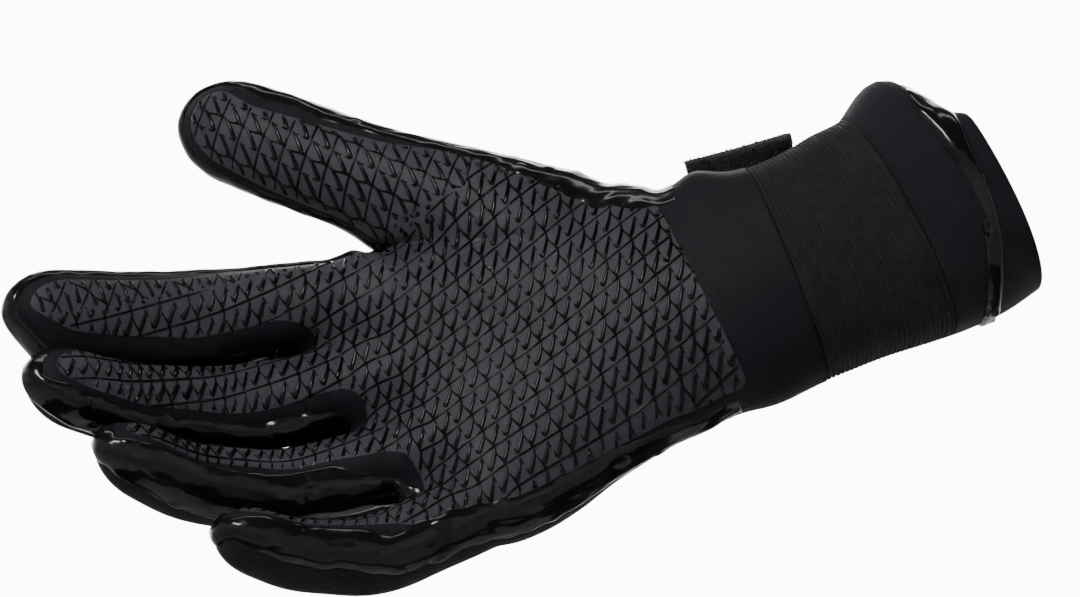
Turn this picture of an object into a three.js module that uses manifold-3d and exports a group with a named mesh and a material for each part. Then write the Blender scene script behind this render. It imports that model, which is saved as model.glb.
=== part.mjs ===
// A right-hand neoprene glove, held up as a hand wears it: palm to the front (-Y), fingers to
// the left (-X), thumb up (+Z), cuff to the right. Two neoprene panels are joined along the
// outline by a band of liquid rubber. Behind them come a ribbed elastic band with a hook tab,
// a smooth cuff, a sealed seam and a hem. The glove is drawn flat, hollow and open at the
// wrist, and then bent into the pose of the hand. Lengths are millimetres, angles degrees.
import * as THREE from "three";
import { mergeVertices } from "three/addons/utils/BufferGeometryUtils.js";
import Module from "manifold-3d";

const wasm = await Module();
wasm.setup();
const { clamp, degToRad, lerp, smoothstep } = THREE.MathUtils;

// Driving sizes
const palmLength = 101; // wrist crease to the fork of middle and ring finger
const palmWidth = 95; // across the knuckles
const palmDepth = 36; // palm to back of the hand
const wristLength = 84; // wrist crease to the mouth
const wristWidth = 64;
const wristDepth = 47;
const thumbLength = 127; // from its root in the heel of the hand
const thumbWidth = 27;
const thumbDepth = 23;
const webLength = 54;
const webWidth = 46;
const webDepth = 25;
const wall = 3; // neoprene with its jersey faces
const clearance = 0.3; // between pieces that touch
const sealWidth = 8.5; // liquid rubber along the outline
const sealThickness = 1.2;
const trimClearance = 0.5; // under the seal and the stripe, where they cross forks
const bandStart = 24; // wrist crease to the elastic band
const bandWidth = 30;
const bandRecess = 0.6;
const hemWidth = 10; // on the middle of the palm side
const hemSlant = 14; // degrees: the cuff seam leaves the rim on the thumb side
const cuffSeamWidth = 5.5;
const strapStart = 5; // wrist crease to the closing strap, behind it
const strapWidth = 30;
const strapThickness = 2.6;
const strapReach = 0.34; // shares of the wrist: how far the strap goes round its back
const strapEdge = 0.13;
const tabRoot = { behind: 0.41, side: 0.34 }; // shares of the wrist's depth and width
const tabLength = 25; // the strap's free end, past the thumb side
const tabAngle = 40;
const stripeWidth = 4.2;
const stripeThickness = 0.6;
const stripeDepth = 5; // the stripe keeps to the back, this far behind the outline
const stripeSteps = 16;

// The four fingers. Root and splay place a finger on the palm, the rest is its own size.
const fingers = [
  { name: "index", root: 0.79, side: 0.346, splay: 9.5, length: 104, width: 22.5, depth: 21.5 },
  { name: "middle", root: 0.81, side: 0.112, splay: 3, length: 110, width: 22.5, depth: 22 },
  { name: "ring", root: 0.77, side: -0.132, splay: -4.5, length: 101, width: 21.5, depth: 21.5 },
  { name: "little", root: 0.68, side: -0.372, splay: -12.5, length: 82, width: 19.5, depth: 20.5 },
];

// How far each joint of a finger turns in the pose: flex closes it, sway leans it to the
// thumb, twist rolls its palm side up.
const bends = {
  index: [
    { at: 0.0, reach: 14, flex: 6, sway: 2.2, twist: 14 },
    { at: 0.44, reach: 12, flex: 14, sway: 3, twist: 0 },
    { at: 0.72, reach: 9, flex: 8, sway: 2, twist: 0 },
  ],
  middle: [
    { at: 0.0, reach: 14, flex: 14, sway: 2.5, twist: 27 },
    { at: 0.44, reach: 12, flex: 26, sway: 0, twist: 0 },
    { at: 0.72, reach: 9, flex: 16, sway: 0, twist: 0 },
  ],
  ring: [
    { at: 0.0, reach: 14, flex: 16, sway: 1.5, twist: 34 },
    { at: 0.44, reach: 12, flex: 28, sway: 0, twist: 0 },
    { at: 0.72, reach: 9, flex: 18, sway: 0, twist: 0 },
  ],
  little: [
    { at: 0.0, reach: 14, flex: 12, sway: -8.5, twist: 38 },
    { at: 0.44, reach: 11, flex: 26, sway: 0, twist: 0 },
    { at: 0.72, reach: 8, flex: 16, sway: 0, twist: 0 },
  ],
  thumb: [
    { at: 0.12, reach: 22, flex: 0, sway: -1.5, twist: -4 },
    { at: 0.6, reach: 12, flex: -4, sway: 3, twist: 0 },
  ],
};
const thumbRoot = { along: 0.18, side: 0.26, angle: 38.5 };
const webRoot = { along: 0.3, side: 0.22, angle: 24 };
const forkLean = 0.28; // the forks lie further out on the index side, by this share

// The whole hand in the pose
const handSlope = 17; // the fingers point down by this much
const wristSway = 8;
const wristTurn = 14; // the cuff leans away behind the hand
const wristTwist = 10;
const palmRoll = 25; // the palm faces up by this much
const cupping = 56; // the palm curls from thumb side to little-finger side
const cupFrom = -0.1; // shares of the palm's length between which the curl grows
const cupTo = 0.75;
const leastCup = 1e-6; // a smaller curl counts as flat
const wristBendFrom = 6; // before the crease
const wristBendTo = 62;
const spineSpare = 12; // the spines run on past their ends
const thinnest = 0.4; // half the depth of the hand's last section when shrunk

// Where one motion passes into the next. The fingers' own bends take over at the knuckles,
// which lie further out on the index side. Between two fingers the change narrows from wide
// to narrow as the fork opens. The thumb's share grows along it, in shares of its length,
// and its edge moves from the palm to the web, in shares of its width.
const knuckleBlend = { at: 0.76, lean: 0.12, before: 14, after: 12 };
const forkBlend = { before: 24, after: 18, wide: 12, narrow: 1 };
const thumbBlend = {
  grown: [0.02, 0.4],
  narrowed: [0.25, 0.48],
  moved: [0.15, 0.46],
  edge: [-0.25, -0.78],
  wide: 18,
  narrow: 3,
};

// Sections of the hand, from the wrist crease to the forks of the fingers. Lean moves one
// to the thumb side.
const handSections = [
  { at: 0.0, width: 0.68, palm: 1.14, back: 1.14, lean: 0.07, square: 2.3 },
  { at: 0.1, width: 0.72, palm: 1.12, back: 1.06, lean: 0.068, square: 2.3 },
  { at: 0.19, width: 0.75, palm: 1.09, back: 1.0, lean: 0.07, square: 2.4 },
  { at: 0.28, width: 0.8, palm: 1.05, back: 0.99, lean: 0.065, square: 2.4 },
  { at: 0.37, width: 0.84, palm: 1.0, back: 0.98, lean: 0.056, square: 2.5 },
  { at: 0.5, width: 0.905, palm: 0.94, back: 0.97, lean: 0.035, square: 2.6 },
  { at: 0.64, width: 0.955, palm: 0.9, back: 0.95, lean: 0.014, square: 2.6 },
  { at: 0.78, width: 0.975, palm: 0.84, back: 0.9, lean: 0.004, square: 2.6 },
  { at: 0.88, width: 0.955, palm: 0.74, back: 0.78, lean: 0.008, square: 2.5 },
  { at: 0.95, width: 0.92, palm: 0.56, back: 0.58, lean: 0.012, square: 2.4 },
  { at: 1.0, width: 0.88, palm: 0.28, back: 0.28, lean: 0.014, square: 2.2 },
];

// Sections of the wrist, from the crease to the mouth
const wristSections = [
  { at: 0.12, width: 1.03, depth: 0.9 },
  { at: 0.27, width: 0.97, depth: 0.93 },
  { at: 0.43, width: 0.96, depth: 0.96 },
  { at: 0.6, width: 1.01, depth: 1.02 },
  { at: 0.75, width: 1.05, depth: 1.09 },
  { at: 0.88, width: 1.06, depth: 1.12 },
  { at: 1.0, width: 1.01, depth: 1.08 },
];
const wristSquare = 2.2;
const digitSquare = 2.2;
const tipRadius = 0.6;

// Sections of a finger, the thumb and the web between thumb and hand, root to tip dome
const fingerSections = [
  { at: -0.07, width: 0.9, depth: 1.0 },
  { at: 0.1, width: 0.98, depth: 1.02 },
  { at: 0.25, width: 1.0, depth: 1.0 },
  { at: 0.37, width: 1.02, depth: 1.0 },
  { at: 0.47, width: 1.02, depth: 0.98 },
  { at: 0.59, width: 0.98, depth: 0.94 },
  { at: 0.72, width: 0.97, depth: 0.91 },
  { at: 0.84, width: 0.95, depth: 0.86 },
];
const thumbSections = [
  { at: 0.0, width: 1.05, depth: 1.2, back: 0.8 },
  { at: 0.07, width: 1.15, depth: 1.26, back: 0.88 },
  { at: 0.14, width: 1.22, depth: 1.3, back: 0.95 },
  { at: 0.21, width: 1.23, depth: 1.27, back: 0.99 },
  { at: 0.28, width: 1.22, depth: 1.22, back: 1.02 },
  { at: 0.35, width: 1.18, depth: 1.17, back: 1.03 },
  { at: 0.41, width: 1.13, depth: 1.12, back: 1.04 },
  { at: 0.53, width: 1.04, depth: 1.02 },
  { at: 0.65, width: 1.0, depth: 0.98 },
  { at: 0.76, width: 1.0, depth: 0.94 },
  { at: 0.86, width: 0.97, depth: 0.88 },
];
const webSections = [
  { at: 0.0, width: 1.0, depth: 1.15 },
  { at: 0.3, width: 0.95, depth: 1.05 },
  { at: 0.55, width: 0.72, depth: 0.9 },
  { at: 0.75, width: 0.48, depth: 0.72 },
];
const domeAngles = [32, 62];
// Sides of a section, outside and on the plainer inside
const trunkSides = { outside: 28, inside: 20 };
const digitSides = { outside: 14, inside: 10 };

// The red stripe on the back of the thumb, from near its tip to the back of the hand. Places
// are shares of the thumb's length along it and of its width to the outer side.
const stripeRoute = [
  { at: 0.93, side: -0.02 },
  { at: 0.78, side: -0.12 },
  { at: 0.6, side: -0.1 },
  { at: 0.44, side: 0.02 },
  { at: 0.3, side: 0.12 },
  { at: 0.17, side: 0.1 },
];

// Drawn flat, a point has x (minus is towards the fingertips), y (minus is the palm side) and
// z (plus is the thumb side). A section is a rounded outline in y and z.
function outline(sides, halfWidth, halfPalm, halfBack, square) {
  const points = [];
  for (let i = 0; i < sides; i += 1) {
    const turn = (2 * Math.PI * i) / sides;
    const across = Math.sign(Math.cos(turn)) * Math.abs(Math.cos(turn)) ** (2 / square);
    const up = Math.sign(Math.sin(turn)) * Math.abs(Math.sin(turn)) ** (2 / square);
    points.push([-up * (up > 0 ? halfPalm : halfBack), across * halfWidth]);
  }
  return points;
}

// Rings of points, all with as many sides, closed at both ends by a fan on each end's middle.
function loftOf(rings) {
  const sides = rings[0].length;
  const points = rings.flat();
  const faces = [];
  for (let r = 0; r + 1 < rings.length; r += 1) {
    for (let i = 0; i < sides; i += 1) {
      const next = (i + 1) % sides;
      const a = r * sides + i;
      const b = r * sides + next;
      faces.push([a, a + sides, b], [b, a + sides, b + sides]);
    }
  }
  for (const [ring, turned] of [[0, false], [rings.length - 1, true]]) {
    const middle = new THREE.Vector3();
    for (const point of rings[ring]) middle.addScaledVector(point, 1 / sides);
    points.push(middle);
    for (let i = 0; i < sides; i += 1) {
      const a = ring * sides + i;
      const b = ring * sides + ((i + 1) % sides);
      faces.push(turned ? [a, points.length - 1, b] : [b, points.length - 1, a]);
    }
  }
  return solidOf(points, faces);
}

function solidOf(points, faces) {
  const make = (list) =>
    new wasm.Manifold(
      new wasm.Mesh({
        numProp: 3,
        vertProperties: new Float32Array(points.flatMap((p) => [p.x, p.y, p.z])),
        triVerts: new Uint32Array(list.flat()),
      }),
    );
  const solid = make(faces);
  return solid.volume() > 0 ? solid : make(faces.map(([a, b, c]) => [a, c, b]));
}

function solidFrom(geometry) {
  geometry.deleteAttribute("normal");
  geometry.deleteAttribute("uv");
  const merged = mergeVertices(geometry, 1e-4);
  return new wasm.Manifold(
    new wasm.Mesh({
      numProp: 3,
      vertProperties: merged.attributes.position.array,
      triVerts: new Uint32Array(merged.index.array),
    }),
  );
}

function blockBetween(low, high) {
  const box = new THREE.BoxGeometry(high[0] - low[0], high[1] - low[1], high[2] - low[2]);
  box.translate((low[0] + high[0]) / 2, (low[1] + high[1]) / 2, (low[2] + high[2]) / 2);
  return solidFrom(box);
}

// The hand and wrist as one long form. The forks lie further out on the index side.
function forkShift(side, along) {
  const lean = forkLean * side - (forkLean * side * side) / palmWidth;
  return lean * along * along;
}

function trunk(grow, past, face) {
  const rings = [];
  const wristLean = handSections[0].lean * palmWidth;
  const wrist = wristSections.toReversed().map((s) => ({
    place: -s.at * wristLength,
    halfWidth: (s.width * wristWidth) / 2,
    halfPalm: (s.depth * wristDepth) / 2,
    halfBack: (s.depth * wristDepth) / 2,
    lean: wristLean,
    square: wristSquare,
    share: 0,
  }));
  const hand = handSections.map((s) => ({
    place: s.at * palmLength,
    halfWidth: (s.width * palmWidth) / 2,
    halfPalm: (s.palm * palmDepth) / 2,
    halfBack: (s.back * palmDepth) / 2,
    lean: s.lean * palmWidth,
    square: s.square,
    share: s.at,
  }));
  const stations = [...wrist, ...hand];
  if (past > 0) stations.unshift({ ...stations[0], place: stations[0].place - past });
  for (const s of stations) {
    const halfPalm = Math.max(s.halfPalm + grow, thinnest);
    const halfBack = Math.max(s.halfBack + grow, thinnest);
    const ring = outline(trunkSides[face], s.halfWidth + grow, halfPalm, halfBack, s.square);
    rings.push(
      ring.map(([y, z]) => {
        const along = s.place + grow * s.share + forkShift(z, s.share);
        return new THREE.Vector3(-along, y, z + s.lean);
      }),
    );
  }
  return loftOf(rings);
}

// A digit: sections along an axis in the flat plane, closed by a round tip.
function digit(root, angle, size, sections, grow, face) {
  const { length, width, depth } = size;
  const heading = new THREE.Vector2(Math.cos(degToRad(angle)), Math.sin(degToRad(angle)));
  const rings = [];
  const addRing = (along, halfWidth, halfPalm, halfBack) => {
    const ring = outline(digitSides[face], halfWidth, halfPalm, halfBack, digitSquare);
    rings.push(
      ring.map(([y, z]) => {
        const reach = root.x + heading.x * along - heading.y * z;
        const side = root.y + heading.y * along + heading.x * z;
        return new THREE.Vector3(-reach, y, side);
      }),
    );
  };
  for (const s of sections) {
    const halfPalm = (s.depth * depth) / 2 + grow;
    const halfBack = ((s.back ?? s.depth) * depth) / 2 + grow;
    addRing(s.at * length, (s.width * width) / 2 + grow, halfPalm, halfBack);
  }
  const last = sections.at(-1);
  const domeStart = last.at * length;
  const domeLength = length + grow - domeStart;
  for (const angleUp of domeAngles) {
    const shrink = Math.cos(degToRad(angleUp));
    const halfDepth = ((last.depth * depth) / 2 + grow) * shrink;
    addRing(
      domeStart + domeLength * Math.sin(degToRad(angleUp)),
      ((last.width * width) / 2 + grow) * shrink,
      halfDepth,
      halfDepth,
    );
  }
  addRing(domeStart + domeLength, tipRadius, tipRadius, tipRadius);
  return loftOf(rings);
}

function fingerRoot(finger) {
  return new THREE.Vector2(finger.root * palmLength, finger.side * palmWidth);
}

function rootOf(place) {
  return new THREE.Vector2(place.along * palmLength, place.side * palmWidth);
}

const thumbSize = { length: thumbLength, width: thumbWidth, depth: thumbDepth };
const webSize = { length: webLength, width: webWidth, depth: webDepth };

// The whole glove drawn flat, grown by some millimetres all round, or shrunk below zero
function flatGlove(grow, past = 0, face = "outside") {
  let form = trunk(grow, past, face);
  for (const f of fingers) {
    form = form.add(digit(fingerRoot(f), f.splay, f, fingerSections, grow, face));
  }
  const thumb = digit(rootOf(thumbRoot), thumbRoot.angle, thumbSize, thumbSections, grow, face);
  const web = digit(rootOf(webRoot), webRoot.angle, webSize, webSections, grow, face);
  return form.add(thumb).add(web);
}

// The pose. A spine is a row of frames a millimetre apart. In a frame's own axes minus x is
// ahead to the fingertips, minus y faces out of the palm and z points to the thumb side.
const ahead = new THREE.Vector3(-1, 0, 0);
const xAxis = new THREE.Vector3(1, 0, 0);
const yAxis = new THREE.Vector3(0, 1, 0);
const zAxis = new THREE.Vector3(0, 0, 1);

function turned(frame, flex, sway, twist) {
  const turn = frame.clone();
  turn.multiply(new THREE.Quaternion().setFromAxisAngle(zAxis, degToRad(flex)));
  turn.multiply(new THREE.Quaternion().setFromAxisAngle(yAxis, degToRad(sway)));
  return turn.multiply(new THREE.Quaternion().setFromAxisAngle(xAxis, degToRad(-twist)));
}

function spineOf(place, turn, length, joints, way = 1) {
  const frames = [{ place: place.clone(), turn: turn.clone() }];
  for (let step = 1; step <= length; step += 1) {
    const last = frames.at(-1);
    let now = last.turn;
    for (const joint of joints) {
      const share =
        smoothstep(step, joint.from, joint.to) - smoothstep(step - 1, joint.from, joint.to);
      if (share > 0) now = turned(now, joint.flex * share, joint.sway * share, joint.twist * share);
    }
    const move = ahead.clone().applyQuaternion(now).multiplyScalar(way);
    frames.push({ place: last.place.clone().add(move), turn: now });
  }
  return frames;
}

// The point that lies "along" a spine, "side" to the thumb side and "y" out of the back
function onSpine(frames, along, side, y) {
  const place = clamp(along, 0, frames.length - 1);
  const low = Math.min(Math.floor(place), frames.length - 2);
  const share = place - low;
  const turn = frames[low].turn.clone().slerp(frames[low + 1].turn, share);
  const past = Math.abs(along - place) * Math.sign(along);
  const offset = new THREE.Vector3(-past, y, side).applyQuaternion(turn);
  return frames[low].place.clone().lerp(frames[low + 1].place, share).add(offset);
}

const handTurn = turned(new THREE.Quaternion(), 0, -handSlope, 0);
const wristBend = {
  from: -wristBendFrom,
  to: wristBendTo,
  flex: wristTurn,
  sway: -wristSway,
  twist: -wristTwist,
};
const wristReach = wristLength + spineSpare;
const wristSpine = spineOf(new THREE.Vector3(), handTurn, wristReach, [wristBend], -1);

// How much the palm is curled at a place along it, in degrees for each millimetre across
function cupAt(along) {
  return (cupping * smoothstep(along, cupFrom * palmLength, cupTo * palmLength)) / palmWidth;
}

function palmPoint(along, side, y) {
  const cup = degToRad(cupAt(along));
  const middle = degToRad(palmRoll);
  const roll = middle - cup * side;
  let across = Math.sin(middle) * side;
  let up = Math.cos(middle) * side;
  if (cup > leastCup) {
    across = (Math.cos(roll) - Math.cos(middle)) / cup;
    up = (Math.sin(middle) - Math.sin(roll)) / cup;
  }
  const inY = across + y * Math.cos(roll);
  const inZ = up - y * Math.sin(roll);
  if (along >= 0) return new THREE.Vector3(-along, inY, inZ).applyQuaternion(handTurn);
  return onSpine(wristSpine, -along, inZ, inY);
}

function digitSpine(root, angle, length, joints) {
  const roll = palmRoll - cupAt(root.x) * root.y;
  const turn = turned(turned(handTurn, 0, 0, roll), 0, angle, 0);
  const steps = joints.map((joint) => ({
    ...joint,
    from: joint.at * length - joint.reach,
    to: joint.at * length + joint.reach,
  }));
  return spineOf(palmPoint(root.x, root.y, 0), turn, length + spineSpare, steps);
}

const fingerSpines = fingers.map((f) =>
  digitSpine(fingerRoot(f), f.splay, f.length, bends[f.name]),
);
const thumbSpine = digitSpine(rootOf(thumbRoot), thumbRoot.angle, thumbLength, bends.thumb);

function local(root, angle, along, side) {
  const cos = Math.cos(degToRad(angle));
  const sin = Math.sin(degToRad(angle));
  return {
    ahead: (along - root.x) * cos + (side - root.y) * sin,
    side: (side - root.y) * cos - (along - root.x) * sin,
  };
}

// How much of a place belongs to the thumb: all of it past the web, none of it on the palm
function thumbShare(along, side) {
  const at = local(rootOf(thumbRoot), thumbRoot.angle, along, side);
  const share = ([from, to]) => smoothstep(at.ahead / thumbLength, from, to);
  const half = lerp(thumbBlend.wide, thumbBlend.narrow, share(thumbBlend.narrowed));
  const edge = lerp(...thumbBlend.edge, share(thumbBlend.moved)) * thumbWidth;
  return share(thumbBlend.grown) * smoothstep(at.side, edge - half, edge + half);
}

// Where a finger's share ends: midway in the gap to its neighbour, sharp past the fork
function fingersPoint(along, side, y) {
  const axes = fingers.map((f) => {
    const root = fingerRoot(f);
    return root.y + (along - root.x) * Math.tan(degToRad(f.splay));
  });
  const shares = fingers.map(() => 1);
  for (let i = 0; i + 1 < fingers.length; i += 1) {
    const split = fingers[i].width / (fingers[i].width + fingers[i + 1].width);
    const border = lerp(axes[i], axes[i + 1], split);
    const fork = palmLength + forkShift(border, 1);
    const open = smoothstep(along, fork - forkBlend.before, fork + forkBlend.after);
    const half = lerp(forkBlend.wide, forkBlend.narrow, open);
    const upper = smoothstep(side, border - half, border + half);
    for (let k = 0; k <= i; k += 1) shares[k] *= upper;
    for (let k = i + 1; k < fingers.length; k += 1) shares[k] *= 1 - upper;
  }
  const sum = shares.reduce((a, b) => a + b, 0);
  const point = new THREE.Vector3();
  fingers.forEach((f, i) => {
    if (shares[i] <= 0) return;
    const at = local(fingerRoot(f), f.splay, along, side);
    point.addScaledVector(onSpine(fingerSpines[i], at.ahead, at.side, y), shares[i] / sum);
  });
  return point;
}

function posed(x, y, z) {
  const along = -x;
  let point = palmPoint(along, z, y);
  const side = clamp(z / palmWidth, -0.5, 0.5);
  const { at: knuckleAt, lean, before, after } = knuckleBlend;
  const knuckles = palmLength * (knuckleAt + lean * side);
  const past = smoothstep(along, knuckles - before, knuckles + after);
  if (past > 0) point.lerp(fingersPoint(along, z, y), past);
  const thumb = thumbShare(along, z);
  if (thumb > 0) {
    const at = local(rootOf(thumbRoot), thumbRoot.angle, along, z);
    point.lerp(onSpine(thumbSpine, at.ahead, at.side, y), thumb);
  }
  return point;
}

// The origin is the middle of the mouth.
const mouth = palmPoint(-wristLength, handSections[0].lean * palmWidth, 0);

function inPose(solid) {
  return solid.warp((vertex) => {
    const point = posed(vertex[0], vertex[1], vertex[2]).sub(mouth);
    vertex[0] = point.x;
    vertex[1] = point.y;
    vertex[2] = point.z;
  });
}

function meshOf(name, solid, colour, roughness) {
  const { vertProperties, triVerts, numProp } = solid.getMesh();
  const points = new Float32Array((vertProperties.length / numProp) * 3);
  for (let i = 0; i < points.length / 3; i += 1) {
    points.set(vertProperties.subarray(i * numProp, i * numProp + 3), i * 3);
  }
  const geometry = new THREE.BufferGeometry();
  geometry.setAttribute("position", new THREE.BufferAttribute(points, 3));
  geometry.setIndex(new THREE.BufferAttribute(triVerts, 1));
  geometry.computeVertexNormals();
  const material = new THREE.MeshStandardMaterial({ color: colour, roughness, metalness: 0 });
  const mesh = new THREE.Mesh(geometry, material);
  mesh.name = name;
  return mesh;
}

const far = 400;
const gap = clearance / 2;
const mouthPast = 10; // the hollow is drawn on past the mouth, to open it
// All of the flat drawing between two distances from the crease, towards the mouth
const zone = (from, to) => blockBetween([from, -far, -far], [to, far, far]);
const hollow = flatGlove(-wall, mouthPast, "inside");
const shell = flatGlove(0).subtract(hollow);
const hand = shell.intersect(zone(-far, bandStart - gap));
const skinOf = (thickness, lift = clearance) =>
  flatGlove(lift + thickness).subtract(flatGlove(lift, 1));

const palmPanel = inPose(hand.intersect(blockBetween([-far, -far, -far], [far, -gap, far])));
const backPanel = inPose(hand.intersect(blockBetween([-far, gap, -far], [far, far, far])));

function seamSeal() {
  const strip = blockBetween(
    [-far, -sealWidth / 2, -far],
    [strapStart - clearance, sealWidth / 2, far],
  );
  const skin = skinOf(sealThickness, trimClearance).intersect(strip);
  return inPose(skin);
}

function wristBand() {
  const ring = flatGlove(-bandRecess).subtract(hollow);
  const place = zone(bandStart + gap, bandStart + bandWidth - gap);
  return inPose(ring.intersect(place));
}

// A slab across the cuff, on the slanted line of its seam, "from" and "to" along the wrist
function slantedZone(from, to) {
  const slab = new THREE.BoxGeometry(to - from, 2 * far, 2 * far);
  slab.translate((from + to) / 2, 0, 0);
  slab.rotateY(degToRad(hemSlant));
  const middle = handSections[0].lean * palmWidth;
  slab.translate(wristLength - hemWidth, 0, middle);
  return solidFrom(slab);
}

const cuffShell = shell.intersect(zone(bandStart + bandWidth + gap, wristLength + 1));

const cuff = inPose(cuffShell.intersect(slantedZone(-far, -gap)));
const cuffHem = inPose(cuffShell.intersect(slantedZone(gap, far)));

function cuffSeam() {
  const line = slantedZone(-cuffSeamWidth / 2, cuffSeamWidth / 2);
  const ring = skinOf(sealThickness).intersect(line).intersect(zone(0, wristLength));
  return inPose(ring);
}

// The closing strap lies on the back of the wrist and ends in a free tab.
function closingStrap() {
  const onBack = blockBetween(
    [strapStart, strapEdge * wristDepth, -strapReach * wristWidth],
    [strapStart + strapWidth, far, far],
  );
  const lying = skinOf(strapThickness).intersect(onBack);
  const tab = new THREE.BoxGeometry(strapWidth, strapThickness, tabLength);
  tab.translate(strapStart + strapWidth / 2, strapThickness / 2, tabLength / 2);
  tab.rotateX(degToRad(tabAngle));
  const middle = handSections[0].lean * palmWidth;
  tab.translate(0, tabRoot.behind * wristDepth, middle + tabRoot.side * wristWidth);
  return inPose(lying.add(solidFrom(tab)));
}

function thumbStripe() {
  const root = rootOf(thumbRoot);
  const angle = degToRad(thumbRoot.angle);
  const route = stripeRoute.map((p) => {
    const ahead = p.at * thumbLength;
    const side = p.side * thumbWidth;
    const along = root.x + ahead * Math.cos(angle) - side * Math.sin(angle);
    return new THREE.Vector3(-along, 0, root.y + ahead * Math.sin(angle) + side * Math.cos(angle));
  });
  const curve = new THREE.CatmullRomCurve3(route);
  const edges = [-1, 1].map((way) =>
    curve.getSpacedPoints(stripeSteps).map((point, i) => {
      const heading = curve.getTangentAt(i / stripeSteps);
      const side = new THREE.Vector3(-heading.z, 0, heading.x).multiplyScalar(stripeWidth / 2);
      return point.clone().addScaledVector(side, way);
    }),
  );
  const loop = [...edges[0], ...edges[1].toReversed()];
  const flat = new THREE.Shape(loop.map((p) => new THREE.Vector2(p.x, p.z)));
  const prism = new THREE.ExtrudeGeometry(flat, { depth: far, bevelEnabled: false });
  prism.rotateX(Math.PI / 2);
  prism.translate(0, far + stripeDepth, 0);
  const strip = skinOf(stripeThickness, trimClearance).intersect(solidFrom(prism));
  return inPose(strip);
}

const glove = new THREE.Group();
glove.name = "neoprene_glove";
glove.add(meshOf("palm_panel", palmPanel, 0x4b494e, 0.62));
glove.add(meshOf("back_panel", backPanel, 0x16161b, 0.8));
glove.add(meshOf("seam_seal", seamSeal(), 0x0b0b0d, 0.22));
glove.add(meshOf("wrist_band", wristBand(), 0x1b1b1e, 0.75));
glove.add(meshOf("cuff", cuff, 0x1a1a20, 0.8));
glove.add(meshOf("cuff_hem", cuffHem, 0x15151a, 0.75));
glove.add(meshOf("cuff_seam", cuffSeam(), 0x0b0b0d, 0.22));
glove.add(meshOf("closing_strap", closingStrap(), 0x202022, 0.95));
glove.add(meshOf("thumb_stripe", thumbStripe(), 0xb5162c, 0.5));

export default glove;
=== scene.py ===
import math

import bmesh
import bpy
import numpy as np
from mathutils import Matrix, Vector, kdtree, noise
from mathutils.bvhtree import BVHTree


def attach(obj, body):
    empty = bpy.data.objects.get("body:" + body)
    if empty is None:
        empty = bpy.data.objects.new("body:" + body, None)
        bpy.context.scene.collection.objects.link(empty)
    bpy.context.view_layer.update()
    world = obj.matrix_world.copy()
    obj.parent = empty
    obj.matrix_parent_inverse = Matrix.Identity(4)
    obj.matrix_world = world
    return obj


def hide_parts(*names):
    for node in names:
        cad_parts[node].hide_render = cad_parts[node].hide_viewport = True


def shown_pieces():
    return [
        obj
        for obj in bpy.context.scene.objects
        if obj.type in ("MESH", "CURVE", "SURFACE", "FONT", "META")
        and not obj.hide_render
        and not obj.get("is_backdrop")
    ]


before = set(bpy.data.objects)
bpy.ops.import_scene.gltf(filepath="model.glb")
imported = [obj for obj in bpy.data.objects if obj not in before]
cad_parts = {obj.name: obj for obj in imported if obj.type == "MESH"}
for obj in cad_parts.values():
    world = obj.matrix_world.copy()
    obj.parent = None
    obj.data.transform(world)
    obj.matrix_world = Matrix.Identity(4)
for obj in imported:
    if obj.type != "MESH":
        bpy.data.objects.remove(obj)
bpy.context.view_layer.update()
mm = 0.001
print("frame loaded")

# Camera: long lens, square on to the palm
view = {
    "pixelsPerMm": 3.75,
    "imageSize": (1080, 597),
    "originPixel": (982, 183),  # where the middle of the mouth shows
    "distance": 3.5,
    "sensorWidth": 36.0,
}


def addCamera():
    width, height = view["imageSize"]
    scale = view["pixelsPerMm"]
    middleX = (width / 2 - view["originPixel"][0]) / scale * mm
    middleZ = (view["originPixel"][1] - height / 2) / scale * mm
    data = bpy.data.cameras.new("camera")
    data.sensor_width = view["sensorWidth"]
    data.lens = view["sensorWidth"] * view["distance"] / (width / scale * mm)
    data.clip_end = 20.0
    camera = bpy.data.objects.new("camera", data)
    camera.location = (middleX, -view["distance"], middleZ)
    camera.rotation_euler = (math.pi / 2, 0, 0)
    bpy.context.scene.collection.objects.link(camera)
    bpy.context.scene.camera = camera


addCamera()

# Sizes of the glove, millimetres; tables hold shares of them
hand = {
    "palmLength": 101.0,
    "palmWidth": 95.0,
    "palmDepth": 36.0,
    "wristLength": 84.0,
    "wristWidth": 64.0,
    "wristDepth": 47.0,
    "wall": 3.0,
    "forkLean": 0.28,
    "wristSquare": 2.2,
    "digitSquare": 2.2,
}
# at, width, palm side, back, lean, squareness
handSections = np.array([
    [0.0, 0.68, 1.14, 1.14, 0.07, 2.3],
    [0.1, 0.72, 1.12, 1.06, 0.068, 2.3],
    [0.19, 0.75, 1.09, 1.0, 0.07, 2.4],
    [0.28, 0.8, 1.05, 0.99, 0.065, 2.4],
    [0.37, 0.84, 1.0, 0.98, 0.056, 2.5],
    [0.5, 0.905, 0.94, 0.97, 0.035, 2.6],
    [0.64, 0.955, 0.9, 0.95, 0.014, 2.6],
    [0.78, 0.975, 0.84, 0.9, 0.004, 2.6],
    [0.88, 0.955, 0.74, 0.78, 0.008, 2.5],
    [0.95, 0.92, 0.56, 0.58, 0.012, 2.4],
    [1.0, 0.88, 0.28, 0.28, 0.014, 2.2],
])
# at, width, depth
wristSections = np.array([
    [0.12, 1.03, 0.9],
    [0.27, 0.97, 0.93],
    [0.43, 0.96, 0.96],
    [0.6, 1.01, 1.02],
    [0.75, 1.05, 1.09],
    [0.88, 1.06, 1.12],
    [1.0, 1.01, 1.08],
])
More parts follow.
